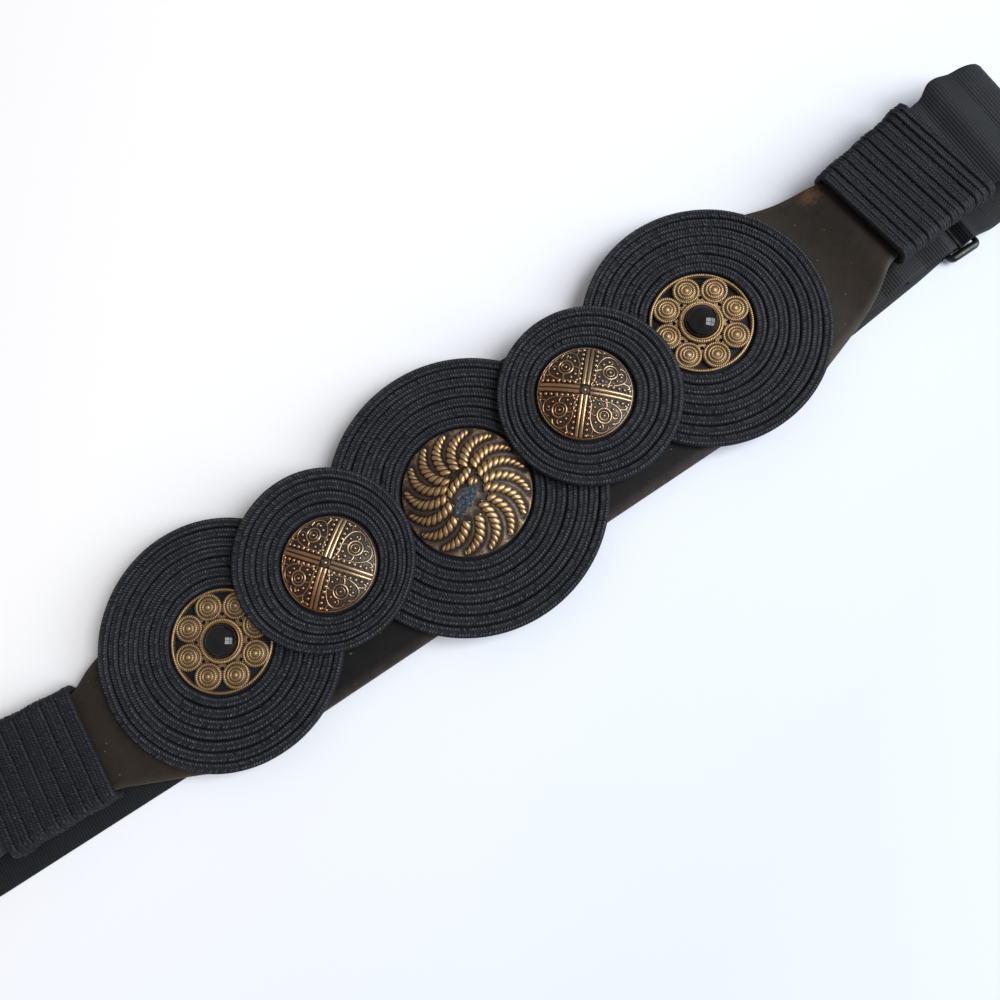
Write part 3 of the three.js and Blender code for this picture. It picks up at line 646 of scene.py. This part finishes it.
# Webs with a round hole beside the collar
WEB_ORBIT = 8.0
WEB = [(0.58, 0.1), (1.6, 0.1), (1.6, 0.8), (0.58, 0.8), (0.58, 0.1)]


def make_filigree(disc, material):
    shape = Shape()
    step = MILLING / 3
    rim = ring_path(FILIGREE_RADIUS - 0.5, step, 0.95)
    add_wire(shape, rim, 0.48, 8, True, 0.66, 2, 0.45, dull=0.85)
    shape.add(turned(RIM_BED, 96), 0.05, loop_along=True)
    for number in range(ROSETTE_COUNT):
        angle = number * FULL_TURN / ROSETTE_COUNT
        rosette = Shape()
        rosette.add(turned(ROSETTE_CONE, 32), 0.32, loop_along=True)
        for radius, height, thick, depth, dull in ROSETTE_COILS:
            add_wire(rosette, ring_path(radius, step, height), thick, 8, True, MILLING, 1, depth, dull=dull)
        add_bead(rosette, 0, 0, 1.68, 0.75, 12, 0.4, 0.8)
        rosette.move(ROSETTE_ORBIT * math.cos(angle), ROSETTE_ORBIT * math.sin(angle), 0)
        shape.join(rosette)
    shape.add(turned(COLLAR, 64), 0.2, loop_along=True)
    add_wire(shape, ring_path(6.15, 0.16, 1.55), 0.64, 8, True, 0.52, 1, 0.5)
    for number in range(ROSETTE_COUNT):
        angle = (number + 0.5) * FULL_TURN / ROSETTE_COUNT
        place = (WEB_ORBIT * math.cos(angle), WEB_ORBIT * math.sin(angle), 0)
        shape.add(turned(WEB, 20) + place, 0.5, loop_along=True)
    add_wire(shape, ring_path(5.5, 0.3, 1.95), 0.2, 8, True)
    place_medallion(shape, disc, 0)
    return make_piece(f"filigree_plate_{disc['name']}", shape, material,
                      [f"filigree_{disc['name']}"], 80)


def make_cabochon(disc, material):
    dome = CABOCHON_HEIGHT - CABOCHON_GIRDLE
    profile = [(0, 0), (CABOCHON_RADIUS - 0.2, 0), (CABOCHON_RADIUS, 0.2)]
    for angle in np.linspace(0, math.pi / 2, 22)[:-1]:
        profile.append((CABOCHON_RADIUS * math.cos(angle), CABOCHON_GIRDLE + dome * math.sin(angle)))
    profile.append((0, CABOCHON_HEIGHT))
    shape = Shape()
    shape.add(turned(profile, 72), 1.0, loop_along=True)
    place_medallion(shape, disc, FILIGREE_BASE + GAP)
    return make_piece(f"stone_{disc['name']}", shape, material, [f"cabochon_{disc['name']}"])


def place_medallion(shape, disc, lift):
    height = tier_of(disc) + DISC_BED + GAP + lift
    shape.move(disc["x"] + disc["off"][0], disc["y"] + disc["off"][1], height, disc["turn"])


# Small button: the dome's profile and the ornament on it
SMALL_DOME = [(14.4, 0.9), (13.6, 1.3), (12.0, 2.1), (10.0, 2.9),
              (7.7, 3.55), (5.5, 4.0), (2.8, 4.4), (0, 4.5)]
SMALL_BOSS = [(0, 3.6), (1.5, 3.6), (1.5, 4.55), (1.2, 4.8), (0.85, 4.75), (0, 4.75)]
# Wires of an arm of the cross: offset, radius, and how proud they stand
ARM_WIRES = [(0.64, 0.6, 0.12), (-0.64, 0.6, 0.12)]
BEAD_ROW = {"offset": 2.05, "start": 3.2, "end": 13.2, "spacing": 1.62, "radius": 0.64}
ROUNDEL_ORBIT = 9.3
ROUNDEL_RINGS = [(2.1, 0.33), (1.25, 0.17)]
SCROLL_WIRE = 0.25
LOOSE_BEAD = 0.5
# Scrolls beside the diagonal of a quarter: distances along it and to its side
SCROLLS = [
    [(2.3, 0.1), (4.7, 1.2), (6.2, 2.7), (8.3, 4.2), (10.4, 4.8),
     (11.9, 4.4), (12.9, 3.1), (13.1, 1.7), (12.5, 0.6)],
    [(6.2, 2.7), (7.1, 2.6), (7.9, 2.0)],
    [(10.4, 4.8), (11.0, 5.7), (11.3, 6.5), (10.9, 7.1), (10.4, 6.8)],
    [(11.0, 1.9), (11.8, 2.1), (12.0, 2.9)],
]
LOOSE_BEADS = [(5.75, 0.8), (9.3, 3.2), (11.1, 2.9), (11.8, 6.3), (4.0, 0.0), (7.3, 3.9)]
# Ground of the buttons: how far from an ornament its painted shade reaches, and the highest relief that the
# ground gets
GROUND_REACH = 0.6
GROUND_LEVEL = 0.4


def dome_height(radius):
    outer = np.array(SMALL_DOME)[::-1]
    return np.interp(radius, outer[:, 0], outer[:, 1])


def on_dome(x, y, proud=0.0):
    return np.array([x, y, dome_height(math.hypot(x, y)) + proud])


def quarter_point(quarter, along, side):
    """Place beside the diagonal of a quarter of the button."""
    angle = math.radians(45 + 90 * quarter)
    x = along * math.cos(angle) - side * math.sin(angle)
    y = along * math.sin(angle) + side * math.cos(angle)
    return x, y


def make_small_medallion(disc, material):
    shape = Shape()
    add_wire(shape, ring_path(13.9, 0.6, 1.1), 0.2, 8, True, dull=0.6)
    add_wire(shape, ring_path(13.3, 0.6, float(dome_height(13.3))), 0.12, 6, True, dull=0.6)
    for quarter in range(4):
        arm = Shape()
        for offset, radius, proud in ARM_WIRES:
            spread = np.linspace(1.6, 13.5, 12)
            path = smooth_curve([on_dome(r, offset, proud) for r in spread], 0.4)
            add_wire(arm, path, radius, 8, dull=1.1)
        for side in (-1, 1):
            for r in np.arange(BEAD_ROW["start"], BEAD_ROW["end"], BEAD_ROW["spacing"]):
                x, y, z = on_dome(r, side * BEAD_ROW["offset"], 0.05)
                add_bead(arm, x, y, z, BEAD_ROW["radius"])
        arm.move(0, 0, 0, 90 * quarter)
        shape.join(arm)
        add_roundel(shape, quarter)
    shape.add(turned(SMALL_BOSS, 24), 0.35, loop_along=True)
    add_bead(shape, 0, 0, 4.7, 0.62, 12)
    radii = np.linspace(0, 14.2, 44)[::-1]
    profile = [(0, 0), (14.3, 0), (14.4, 0.3), (14.4, 0.8), *[(r, dome_height(r)) for r in radii]]
    dome = turned(profile, 240)
    # Painted shade: the ground beside the wires and beads gets low relief, so the paint darkens it
    shape.add(dome, GROUND_LEVEL * shape.hollow(dome, GROUND_REACH), loop_along=True)
    place_medallion(shape, disc, 0)
    return make_piece(f"button_{disc['name']}", shape, material,
                      [f"medallion_{disc['name']}"], 70)


def add_roundel(shape, quarter):
    """Two rings round a dot, with scrolls and loose beads beside them."""
    centre = quarter_point(quarter, ROUNDEL_ORBIT, 0)
    for radius, thick in ROUNDEL_RINGS:
        circle = ring_path(radius, 0.35)
        path = np.array([on_dome(centre[0] + p[0], centre[1] + p[1], 0.12) for p in circle])
        add_wire(shape, path, thick, 8, True)
    x, y, z = on_dome(*centre, 0.1)
    add_bead(shape, x, y, z, LOOSE_BEAD)
    for scroll in SCROLLS:
        for side in (-1, 1):
            path = [on_dome(*quarter_point(quarter, a, side * b), 0.05) for a, b in scroll]
            add_wire(shape, smooth_curve(path, 0.35), SCROLL_WIRE, 6)
    for a, b in LOOSE_BEADS:
        for side in (-1, 1):
            x, y, z = on_dome(*quarter_point(quarter, a, side * b), 0.0)
            add_bead(shape, x, y, z, LOOSE_BEAD)


# Centre button: twisted ropes that swirl out from the middle. The swirl says
# how far a rope has turned, in degrees, by its distance from the middle.
CENTRE_DOME = [(0, 5.6), (3, 5.5), (6, 5.1), (9, 4.4), (12.6, 3.2), (15.8, 1.9), (18.2, 1.15), (19.6, 0.9)]
SWIRL = [(4.5, 23), (6, 25.5), (8, 27), (10, 25.5), (12.5, 21), (14.4, 17), (16, 11), (18.5, 0)]
ROPE_FIRST = 11.25
ROPE_STARTS = [6.9, 6.5, 6.0, 6.4, 4.9, 4.9, 5.7, 5.8, 8.6, 9.3, 8.4, 6.0, 6.9, 5.4, 5.7, 5.6]
ROPE_END = 18.4
ROPE_RADIUS = 1.52
ROPE_LAYS = (2.1, 1.5)
ROPE_FLATNESS = 0.8
ROPE_STEP = 0.2
ROPE_SPACING = 22.5
# Short ropes across the middle: radius and route
SHORT_ROPES = [
    (1.35, [(-5.2, 0.6, 5.7), (-2.2, 2.1, 6.4), (1.4, 2.9, 6.5), (4.3, 4.4, 5.8)]),
    (1.2, [(1.6, 0.5, 6.0), (2.9, 0.6, 6.2), (4.4, 0.2, 5.8)]),
]
SHORT_ROPE_LAY = 1.9
# Ridges of the centre button's ground: how far from a rope they rise, with painted shade beside the ropes,
# and how high they stand
RIDGE_REACH = 1.1
RIDGE_HEIGHT = 0.4


def swirled(number, radii, proud):
    """Path that starts as rope number at these radii and swirls out over the dome."""
    turn = np.interp(radii, *np.array(SWIRL).T)
    angles = np.radians(ROPE_FIRST + ROPE_SPACING * number + turn)
    heights = np.interp(radii, *np.array(CENTRE_DOME).T) + proud
    path = np.stack([radii * np.cos(angles), radii * np.sin(angles), heights], axis=-1)
    return smooth_curve(path, ROPE_STEP)


def make_centre_medallion(disc, material):
    shape = Shape()
    for number, start in enumerate(ROPE_STARTS):
        path = swirled(number, np.linspace(start, ROPE_END, 9), 0.2)
        share = np.linspace(0, 1, len(path))
        radius = ROPE_RADIUS * np.interp(share, (0, 0.1, 0.6, 1), (0.75, 1, 0.98, 0.6))
        lay = np.interp(share, (0, 1), ROPE_LAYS)
        add_wire(shape, path, radius, 16, False, lay, 2, 0.3, ROPE_FLATNESS)
    for reach, route in SHORT_ROPES:
        path = smooth_curve(route, ROPE_STEP)
        radius = reach * np.interp(np.linspace(0, 1, len(path)), (0, 0.2, 0.8, 1), (0.7, 1, 1, 0.7))
        add_wire(shape, path, radius, 16, False, SHORT_ROPE_LAY, 2, 0.3, ROPE_FLATNESS)
    radii = np.linspace(0, 19.4, 60)[::-1]
    rim = CENTRE_MEDALLION_RADIUS
    profile = [(0, 0), (rim - 0.2, 0), (rim, 0.3), (rim, 0.75)]
    profile += [(r, np.interp(r, *np.array(CENTRE_DOME).T)) for r in radii]
    dome = turned(profile, 300)
    # Painted shade beside the ropes, lighter along the raised ridges between them
    level = shape.hollow(dome, RIDGE_REACH)
    dome[:, 4:, 2] += RIDGE_HEIGHT * level[:, 4:] * np.clip(radii / 8 - 0.6, 0, 1)
    shape.add(dome, GROUND_LEVEL * level, loop_along=True)
    place_medallion(shape, disc, 0)
    return make_piece("button_centre", shape, material, ["medallion_centre"], 80)


class Paint:
    """A procedural material in the making: nodes on one principled shader."""

    def __init__(self, name):
        self.material = bpy.data.materials.new(name)
        self.material.use_nodes = True
        self.nodes = self.material.node_tree.nodes
        self.links = self.material.node_tree.links
        self.shader = self.nodes["Principled BSDF"]
        self.where = self.nodes.new("ShaderNodeTexCoord").outputs["Object"]

    def node(self, kind, inputs=(), **settings):
        made = self.nodes.new(f"ShaderNode{kind}")
        for key, value in settings.items():
            setattr(made, key, value)
        for socket, value in dict(inputs).items():
            self.feed(made.inputs[socket], value)
        return made

    def feed(self, socket, value):
        if isinstance(value, bpy.types.NodeSocket):
            self.links.new(value, socket)
        else:
            socket.default_value = value

    def relief(self):
        return self.node("Attribute", attribute_name="relief").outputs["Fac"]

    def noise(self, size, detail=3.0, rough=0.55, where=None):
        """Noise whose features are about size millimetres across."""
        return self.node("TexNoise", {
            "Vector": where or self.where, "Scale": 1 / (size * MM), "Detail": detail, "Roughness": rough,
        }).outputs["Fac"]

    def span(self, value, low, high, to_low=0.0, to_high=1.0):
        """Maps a value between two limits, clamped."""
        made = self.node("MapRange", clamp=True)
        for socket, number in zip(("Value", "From Min", "From Max", "To Min", "To Max"),
                                  (value, low, high, to_low, to_high)):
            self.feed(made.inputs[socket], number)
        return made.outputs["Result"]

    def maths(self, operation, a, b):
        made = self.node("Math", operation=operation)
        self.feed(made.inputs[0], a)
        self.feed(made.inputs[1], b)
        return made.outputs[0]

    def mix(self, share, a, b, blend="MIX"):
        made = self.node("Mix", data_type="RGBA", blend_type=blend)
        self.feed(made.inputs[0], share)
        for socket, colour in ((6, a), (7, b)):
            if isinstance(colour, tuple):
                colour = (*colour, 1.0)
            self.feed(made.inputs[socket], colour)
        return made.outputs[2]

    def bump(self, height, distance, strength=1.0, normal=None):
        """Bump of a depth in millimetres."""
        made = self.node("Bump",
                         {"Height": height, "Distance": distance * MM, "Strength": strength})
        if normal is not None:
            self.feed(made.inputs["Normal"], normal)
        return made.outputs["Normal"]

    def finish(self, **sockets):
        for name, value in sockets.items():
            if isinstance(value, tuple):
                value = (*value, 1.0)
            self.feed(self.shader.inputs[name.replace("_", " ").title().replace("Ior", "IOR")], value)
        return self.material


def braid_paint():
    paint = Paint("black_braid")
    patch = paint.span(paint.noise(14, 2), 0.35, 0.65)
    # Painted highlight: the stitch crests, where the relief is high, get the lighter colour; the rest keeps
    # the near-black ground colour
    lit_crest = paint.mix(patch, (0.074, 0.078, 0.090), (0.052, 0.060, 0.069))
    crest = paint.span(paint.relief(), 0.3, 1.0)
    ground = paint.mix(patch, (0.0135, 0.014, 0.0175), (0.0105, 0.0115, 0.014))
    colour = paint.mix(crest, ground, lit_crest)
    lint = paint.span(paint.noise(0.9, 1), 0.76, 0.80)
    colour = paint.mix(paint.maths("MULTIPLY", lint, 0.35), colour, (0.25, 0.26, 0.28))
    fibre = paint.bump(paint.noise(0.16, 2), 0.04, 0.5)
    return paint.finish(base_color=colour, roughness=0.6, normal=fibre, specular_ior_level=0.18)


# Heights between which painted shade on the webbing fades: blacker below, where it lies low on the table, and
# unshaded above
WEBBING_SHADE = (3, 8)


def webbing_paint():
    paint = Paint("ribbed_webbing")
    relief = paint.relief()
    patch = paint.span(paint.noise(11, 2), 0.3, 0.7)
    lit_crest = paint.mix(patch, (0.017, 0.019, 0.023), (0.024, 0.027, 0.031))
    # Painted shade: the rib valleys, where the relief is low, are turned near black
    colour = paint.mix(relief, (0.004, 0.0045, 0.006), lit_crest)
    # Painted shade: the webbing that lies low, on the table under the front of the belt, is darkened towards
    # near black
    height = paint.node("SeparateXYZ", {0: paint.where}).outputs["Z"]
    lower = paint.span(height, *(level * MM for level in WEBBING_SHADE), 0.75, 0.0)
    colour = paint.mix(lower, colour, (0.005, 0.0055, 0.007))
    stretch = paint.node("Mapping", {"Vector": paint.where, "Scale": (0.25, 1.0, 1.0)}).outputs[0]
    fibre = paint.bump(paint.noise(0.35, 2, 0.6, stretch), 0.09, 0.8)
    return paint.finish(base_color=colour, roughness=0.6, normal=fibre, specular_ior_level=0.25)


# How far from the belt's middle the painted shade under and between the discs ends and the brown leather
# begins
LEATHER_SHADE_REACH = (84, 104)
# Rubbed spot beside the upper corner of the right-hand wrap
WORN_SPOT = {"middle": (137.2, 18.6, 9.8), "core": 1.0, "edge": 4.2, "uneven": 2.2}


def leather_paint():
    paint = Paint("dark_leather")
    edge = paint.relief()
    broad = paint.span(paint.noise(22, 3), 0.35, 0.65)
    colour = paint.mix(broad, (0.018, 0.0155, 0.0125), (0.026, 0.019, 0.014))
    mottled = paint.span(paint.noise(2.6, 4, 0.65), 0.4, 0.75)
    colour = paint.mix(paint.maths("MULTIPLY", mottled, 0.45), colour, (0.040, 0.027, 0.019))
    # Painted shade: the leather under and between the discs is turned near black
    away = paint.maths("ABSOLUTE", paint.node("SeparateXYZ", {0: paint.where}).outputs["X"], 0.0)
    middle = paint.span(away, *(reach * MM for reach in LEATHER_SHADE_REACH), 0.92, 0.0)
    colour = paint.mix(middle, colour, (0.006, 0.0056, 0.006))
    worn = paint.maths("MULTIPLY", edge, paint.span(paint.noise(3.0, 3), 0.3, 0.7, 0.35, 1.0))
    colour = paint.mix(paint.maths("MULTIPLY", worn, 0.6), colour, (0.095, 0.075, 0.06))
    spot = tuple(v * MM for v in WORN_SPOT["middle"])
    apart = paint.node("VectorMath", {0: paint.where, 1: spot},
                       operation="DISTANCE").outputs["Value"]
    uneven = WORN_SPOT["uneven"] * MM
    ragged = paint.maths("ADD", apart, paint.span(paint.noise(1.6, 4, 0.65), 0.25, 0.75, -uneven, uneven))
    rubbed = paint.span(ragged, WORN_SPOT["core"] * MM, WORN_SPOT["edge"] * MM, 0.7, 0.0)
    colour = paint.mix(rubbed, colour, (0.13, 0.062, 0.030))
    speck = paint.span(paint.noise(1.1, 1), 0.79, 0.82)
    colour = paint.mix(paint.maths("MULTIPLY", speck, 0.5), colour, (0.3, 0.28, 0.26))
    grain = paint.bump(paint.noise(0.5, 3, 0.6), 0.06, 0.7)
    grain = paint.bump(paint.noise(6, 2), 0.25, 0.5, grain)
    rough = paint.span(paint.noise(5, 3), 0.3, 0.7, 0.46, 0.62)
    return paint.finish(base_color=colour, roughness=rough, normal=grain, specular_ior_level=0.2)


# Metals: colours from the worn crests down to the hollows, and the roughness of the crests
METAL_COLUMNS = ("bright", "middle", "ground", "dark", "shine")
METAL_ROWS = {
    "brass": ((0.53, 0.37, 0.19), (0.41, 0.275, 0.135), (0.20, 0.135, 0.08), (0.045, 0.031, 0.023), 0.50),
    "stained": ((0.60, 0.40, 0.19), (0.47, 0.295, 0.135), (0.105, 0.078, 0.065), (0.022, 0.015, 0.012), 0.46),
    "bronzed": ((0.50, 0.38, 0.25), (0.34, 0.245, 0.155), (0.082, 0.060, 0.046), (0.014, 0.010, 0.008), 0.33),
}
METALS = {name: dict(zip(METAL_COLUMNS, row)) for name, row in METAL_ROWS.items()}


def brass_paint(name, metal, stain=None):
    """Antique metal: dark in the hollows, brown on the ground and worn bright on the crests. Beside the
    ornaments the dark ground is painted shade as well.
    """
    paint = Paint(name)
    relief = paint.relief()
    spotty = paint.noise(0.8, 4, 0.65)
    height = paint.maths("ADD", relief, paint.span(spotty, 0.3, 0.7, -0.16, 0.16))
    broad = paint.span(paint.noise(7, 3), 0.35, 0.65)
    worn = paint.mix(broad, metal["middle"], metal["bright"])
    colour = paint.mix(paint.span(height, 0.03, 0.28), metal["dark"], metal["ground"])
    colour = paint.mix(paint.span(height, 0.34, 0.62), colour, worn)
    metallic = paint.span(height, 0.05, 0.35, 0.4, 1.0)
    rough = paint.span(height, 0.2, 0.9, 0.55, metal["shine"])
    if stain is not None:
        colour, metallic, rough = stain(paint, colour, metallic, rough)
    dents = paint.bump(paint.noise(0.35, 3, 0.6), 0.05, 0.5)
    return paint.finish(base_color=colour, metallic=metallic, roughness=rough, normal=dents)


# Stain of the centre button: its middle, its heading in degrees and its reach
PATINA = {"middle": (-0.6, -2.2, 13.0), "heading": 29, "reach": (5.2, 2.5)}
# Painted warm shade on the side of a small button away from the window: the way to that side and what its
# colour is multiplied by
SHADE_SIDE_WAY = (-0.87, 0.1, 0)
SHADE_SIDE_TINT = (1.08, 0.76, 0.58)


def patina_patch(paint, colour, metallic, rough):
    """Blue-grey stain low in the middle of the centre button."""
    local = paint.node("Mapping", {
        "Vector": paint.where,
        "Location": tuple(v * MM for v in PATINA["middle"]),
        "Rotation": (0, 0, math.radians(PATINA["heading"])),
        "Scale": (*(v * MM for v in PATINA["reach"]), 1.0),
    }, vector_type="TEXTURE").outputs[0]
    reach = paint.node("VectorMath", {0: local}, operation="LENGTH").outputs["Value"]
    ragged = paint.maths("ADD", reach, paint.span(paint.noise(1.5, 4), 0.25, 0.75, -0.6, 0.6))
    stained = paint.span(ragged, 0.8, 1.1, 1.0, 0.0)
    low = paint.span(paint.relief(), 0.42, 0.62, 1.0, 0.12)
    stained = paint.maths("MULTIPLY", stained, low)
    cloud = paint.noise(0.9, 4, 0.7)
    bluish = paint.mix(paint.span(cloud, 0.42, 0.54), (0.008, 0.012, 0.022), (0.034, 0.052, 0.072))
    bluish = paint.mix(paint.span(cloud, 0.58, 0.66), bluish, (0.20, 0.26, 0.32))
    colour = paint.mix(stained, colour, bluish)
    metallic = paint.maths("MULTIPLY", metallic, paint.span(stained, 0, 1, 1.0, 0.15))
    rough = paint.maths("ADD", rough, paint.maths("MULTIPLY", stained, 0.2))
    return colour, metallic, rough


def warm_shade_side(middle):
    """Painted warm shade: a darker copper tint on the side of a button that faces away from the window."""
    def stain(paint, colour, metallic, rough):
        apart = paint.node("VectorMath", {0: paint.where, 1: tuple(v * MM for v in middle)},
                           operation="SUBTRACT").outputs[0]
        side = paint.node("VectorMath", {0: apart, 1: tuple(v / MM for v in SHADE_SIDE_WAY)},
                          operation="DOT_PRODUCT").outputs["Value"]
        ragged = paint.maths("ADD", side, paint.span(paint.noise(5, 3), 0.2, 0.8, -5, 5))
        share = paint.span(ragged, -3, 8, 0.0, 0.75)
        # Painted shade: the side away from the window is multiplied to a darker copper tone
        warm_shade = paint.mix(1.0, colour, SHADE_SIDE_TINT, "MULTIPLY")
        return paint.mix(share, colour, warm_shade), metallic, rough
    return stain


def gunmetal_paint():
    paint = Paint("bronzed_wire")
    cloud = paint.span(paint.noise(3, 3), 0.35, 0.65)
    colour = paint.mix(cloud, (0.028, 0.027, 0.027), (0.055, 0.052, 0.049))
    rough = paint.span(paint.noise(1.2, 3), 0.3, 0.7, 0.25, 0.42)
    return paint.finish(base_color=colour, metallic=0.9, roughness=rough,
                        normal=paint.bump(paint.noise(0.5, 2), 0.02, 0.4))


def stone_paint():
    paint = Paint("black_stone")
    cloud = paint.span(paint.noise(2.5, 2), 0.4, 0.7)
    colour = paint.mix(cloud, (0.004, 0.004, 0.004), (0.009, 0.008, 0.009))
    rough = paint.span(paint.noise(0.8, 3), 0.45, 0.75, 0.04, 0.10)
    return paint.finish(base_color=colour, roughness=rough, specular_ior_level=0.42)


def floor_paint():
    """Pale floor, a little warmer behind the belt and cooler in front of it."""
    paint = Paint("pale_floor")
    apart = paint.node("SeparateXYZ", {0: paint.where}).outputs
    place = paint.maths("SUBTRACT", apart["Y"], paint.maths("MULTIPLY", apart["X"], 0.45))
    colour = paint.mix(paint.span(place, -0.14, 0.12), (0.76, 0.81, 0.93), (0.97, 0.955, 0.955))
    return paint.finish(base_color=colour, roughness=0.8, specular_ior_level=0.15)


# Camera, fitted to the discs and the straight edges in the photograph
CAMERA = {"azimuth": -8.45, "elevation": 78.54, "roll": -25.36, "distance": 273.64, "lens": 33.2}
CAMERA_TARGET = (7.36, -6.93, 8.0)
SENSOR_WIDTH = 36

# Floor, world and window, in metres: the window has two columns and two rows
# of panes, each row with its side, power and colour
FLOOR_REACH = 4
WORLD_COLOUR = (1.0, 0.965, 0.94, 1)
WORLD_STRENGTH = 0.33
WINDOW_MIDDLE = (1.38, -0.93, 1.43)
PANE_SIZE = (0.66, 1.06)
PANE_OFFSET = (0.37, 0.58)
PANE_ROWS = [(-1, 15.6, (0.88, 0.94, 1.0)), (1, 20.6, (0.95, 0.98, 1.0))]


def add_camera():
    azimuth, elevation, roll = (math.radians(CAMERA[key]) for key in ("azimuth", "elevation", "roll"))
    back = Vector((math.cos(elevation) * math.sin(azimuth), -math.cos(elevation) * math.cos(azimuth),
                   math.sin(elevation)))
    level = Vector((0, 0, 1)).cross(back).normalized()
    upward = back.cross(level)
    right = math.cos(roll) * level + math.sin(roll) * upward
    up = math.cos(roll) * upward - math.sin(roll) * level
    camera = bpy.data.objects.new("camera", bpy.data.cameras.new("camera"))
    camera.data.lens = CAMERA["lens"]
    camera.data.sensor_width = SENSOR_WIDTH
    camera.data.clip_start = 0.01
    place = (Vector(CAMERA_TARGET) + back * CAMERA["distance"]) * MM
    turn = Matrix((right, up, back)).transposed().to_4x4()
    camera.matrix_world = Matrix.Translation(place) @ turn
    bpy.context.scene.collection.objects.link(camera)
    bpy.context.scene.camera = camera


def add_light(name, place, target, width, height, power, colour):
    data = bpy.data.lights.new(name, "AREA")
    data.shape = "RECTANGLE"
    data.size = width
    data.size_y = height
    data.energy = power
    data.color = colour
    light = bpy.data.objects.new(name, data)
    light.location = place
    light.rotation_euler = (Vector(place) - Vector(target)).to_track_quat("Z", "Y").to_euler()
    bpy.context.scene.collection.objects.link(light)


def add_stage():
    floor = bpy.data.meshes.new("floor")
    far = FLOOR_REACH
    floor.from_pydata([(-far, -far, 0), (far, -far, 0), (far, far, 0), (-far, far, 0)], [], [(0, 1, 2, 3)])
    floor.materials.append(floor_paint())
    piece = bpy.data.objects.new("floor", floor)
    bpy.context.scene.collection.objects.link(piece)
    world = bpy.data.worlds.new("studio")
    world.use_nodes = True
    background = world.node_tree.nodes["Background"]
    background.inputs["Color"].default_value = WORLD_COLOUR
    background.inputs["Strength"].default_value = WORLD_STRENGTH
    bpy.context.scene.world = world
    bpy.context.scene.view_settings.view_transform = "Standard"


def add_window():
    """Large window beside the belt, in four panes."""
    middle = Vector(WINDOW_MIDDLE)
    back = middle.normalized()
    across = Vector((0, 0, 1)).cross(back).normalized()
    upward = back.cross(across)
    for column in (-1, 1):
        for row, power, colour in PANE_ROWS:
            place = middle + across * (PANE_OFFSET[0] * column) + upward * (PANE_OFFSET[1] * row)
            add_light(f"pane_{column}_{row}", place, place - back, *PANE_SIZE, power, colour)


add_camera()
add_stage()
add_window()

braid_material = braid_paint()
webbing_material = webbing_paint()
brass_material = brass_paint("antique_brass", METALS["brass"])
centre_material = brass_paint("antique_brass_stained", METALS["stained"], patina_patch)
stone_material = stone_paint()

make_leather(leather_paint())
make_webbing("elastic_left", LEFT_COURSE, webbing_material, "strap_left")
make_webbing("elastic_right", RIGHT_COURSE, webbing_material, "strap_right")
for number, disc in enumerate(DISCS):
    make_disc(disc, number + 1, braid_material)
    if disc["kind"] == "filigree":
        make_filigree(disc, brass_material)
        make_cabochon(disc, stone_material)
    elif disc["kind"] == "small":
        # The small buttons get painted warm shade on the side away from the window
        shade_side = warm_shade_side((disc["x"] + disc["off"][0], disc["y"] + disc["off"][1], 0))
        bronzed = brass_paint(f"bronzed_brass_{disc['name']}", METALS["bronzed"], shade_side)
        make_small_medallion(disc, bronzed)
    else:
        make_centre_medallion(disc, centre_material)
for number, wrap in enumerate(WRAPS):
    make_wrap(wrap, number + 11, braid_material)
make_slider(gunmetal_paint())
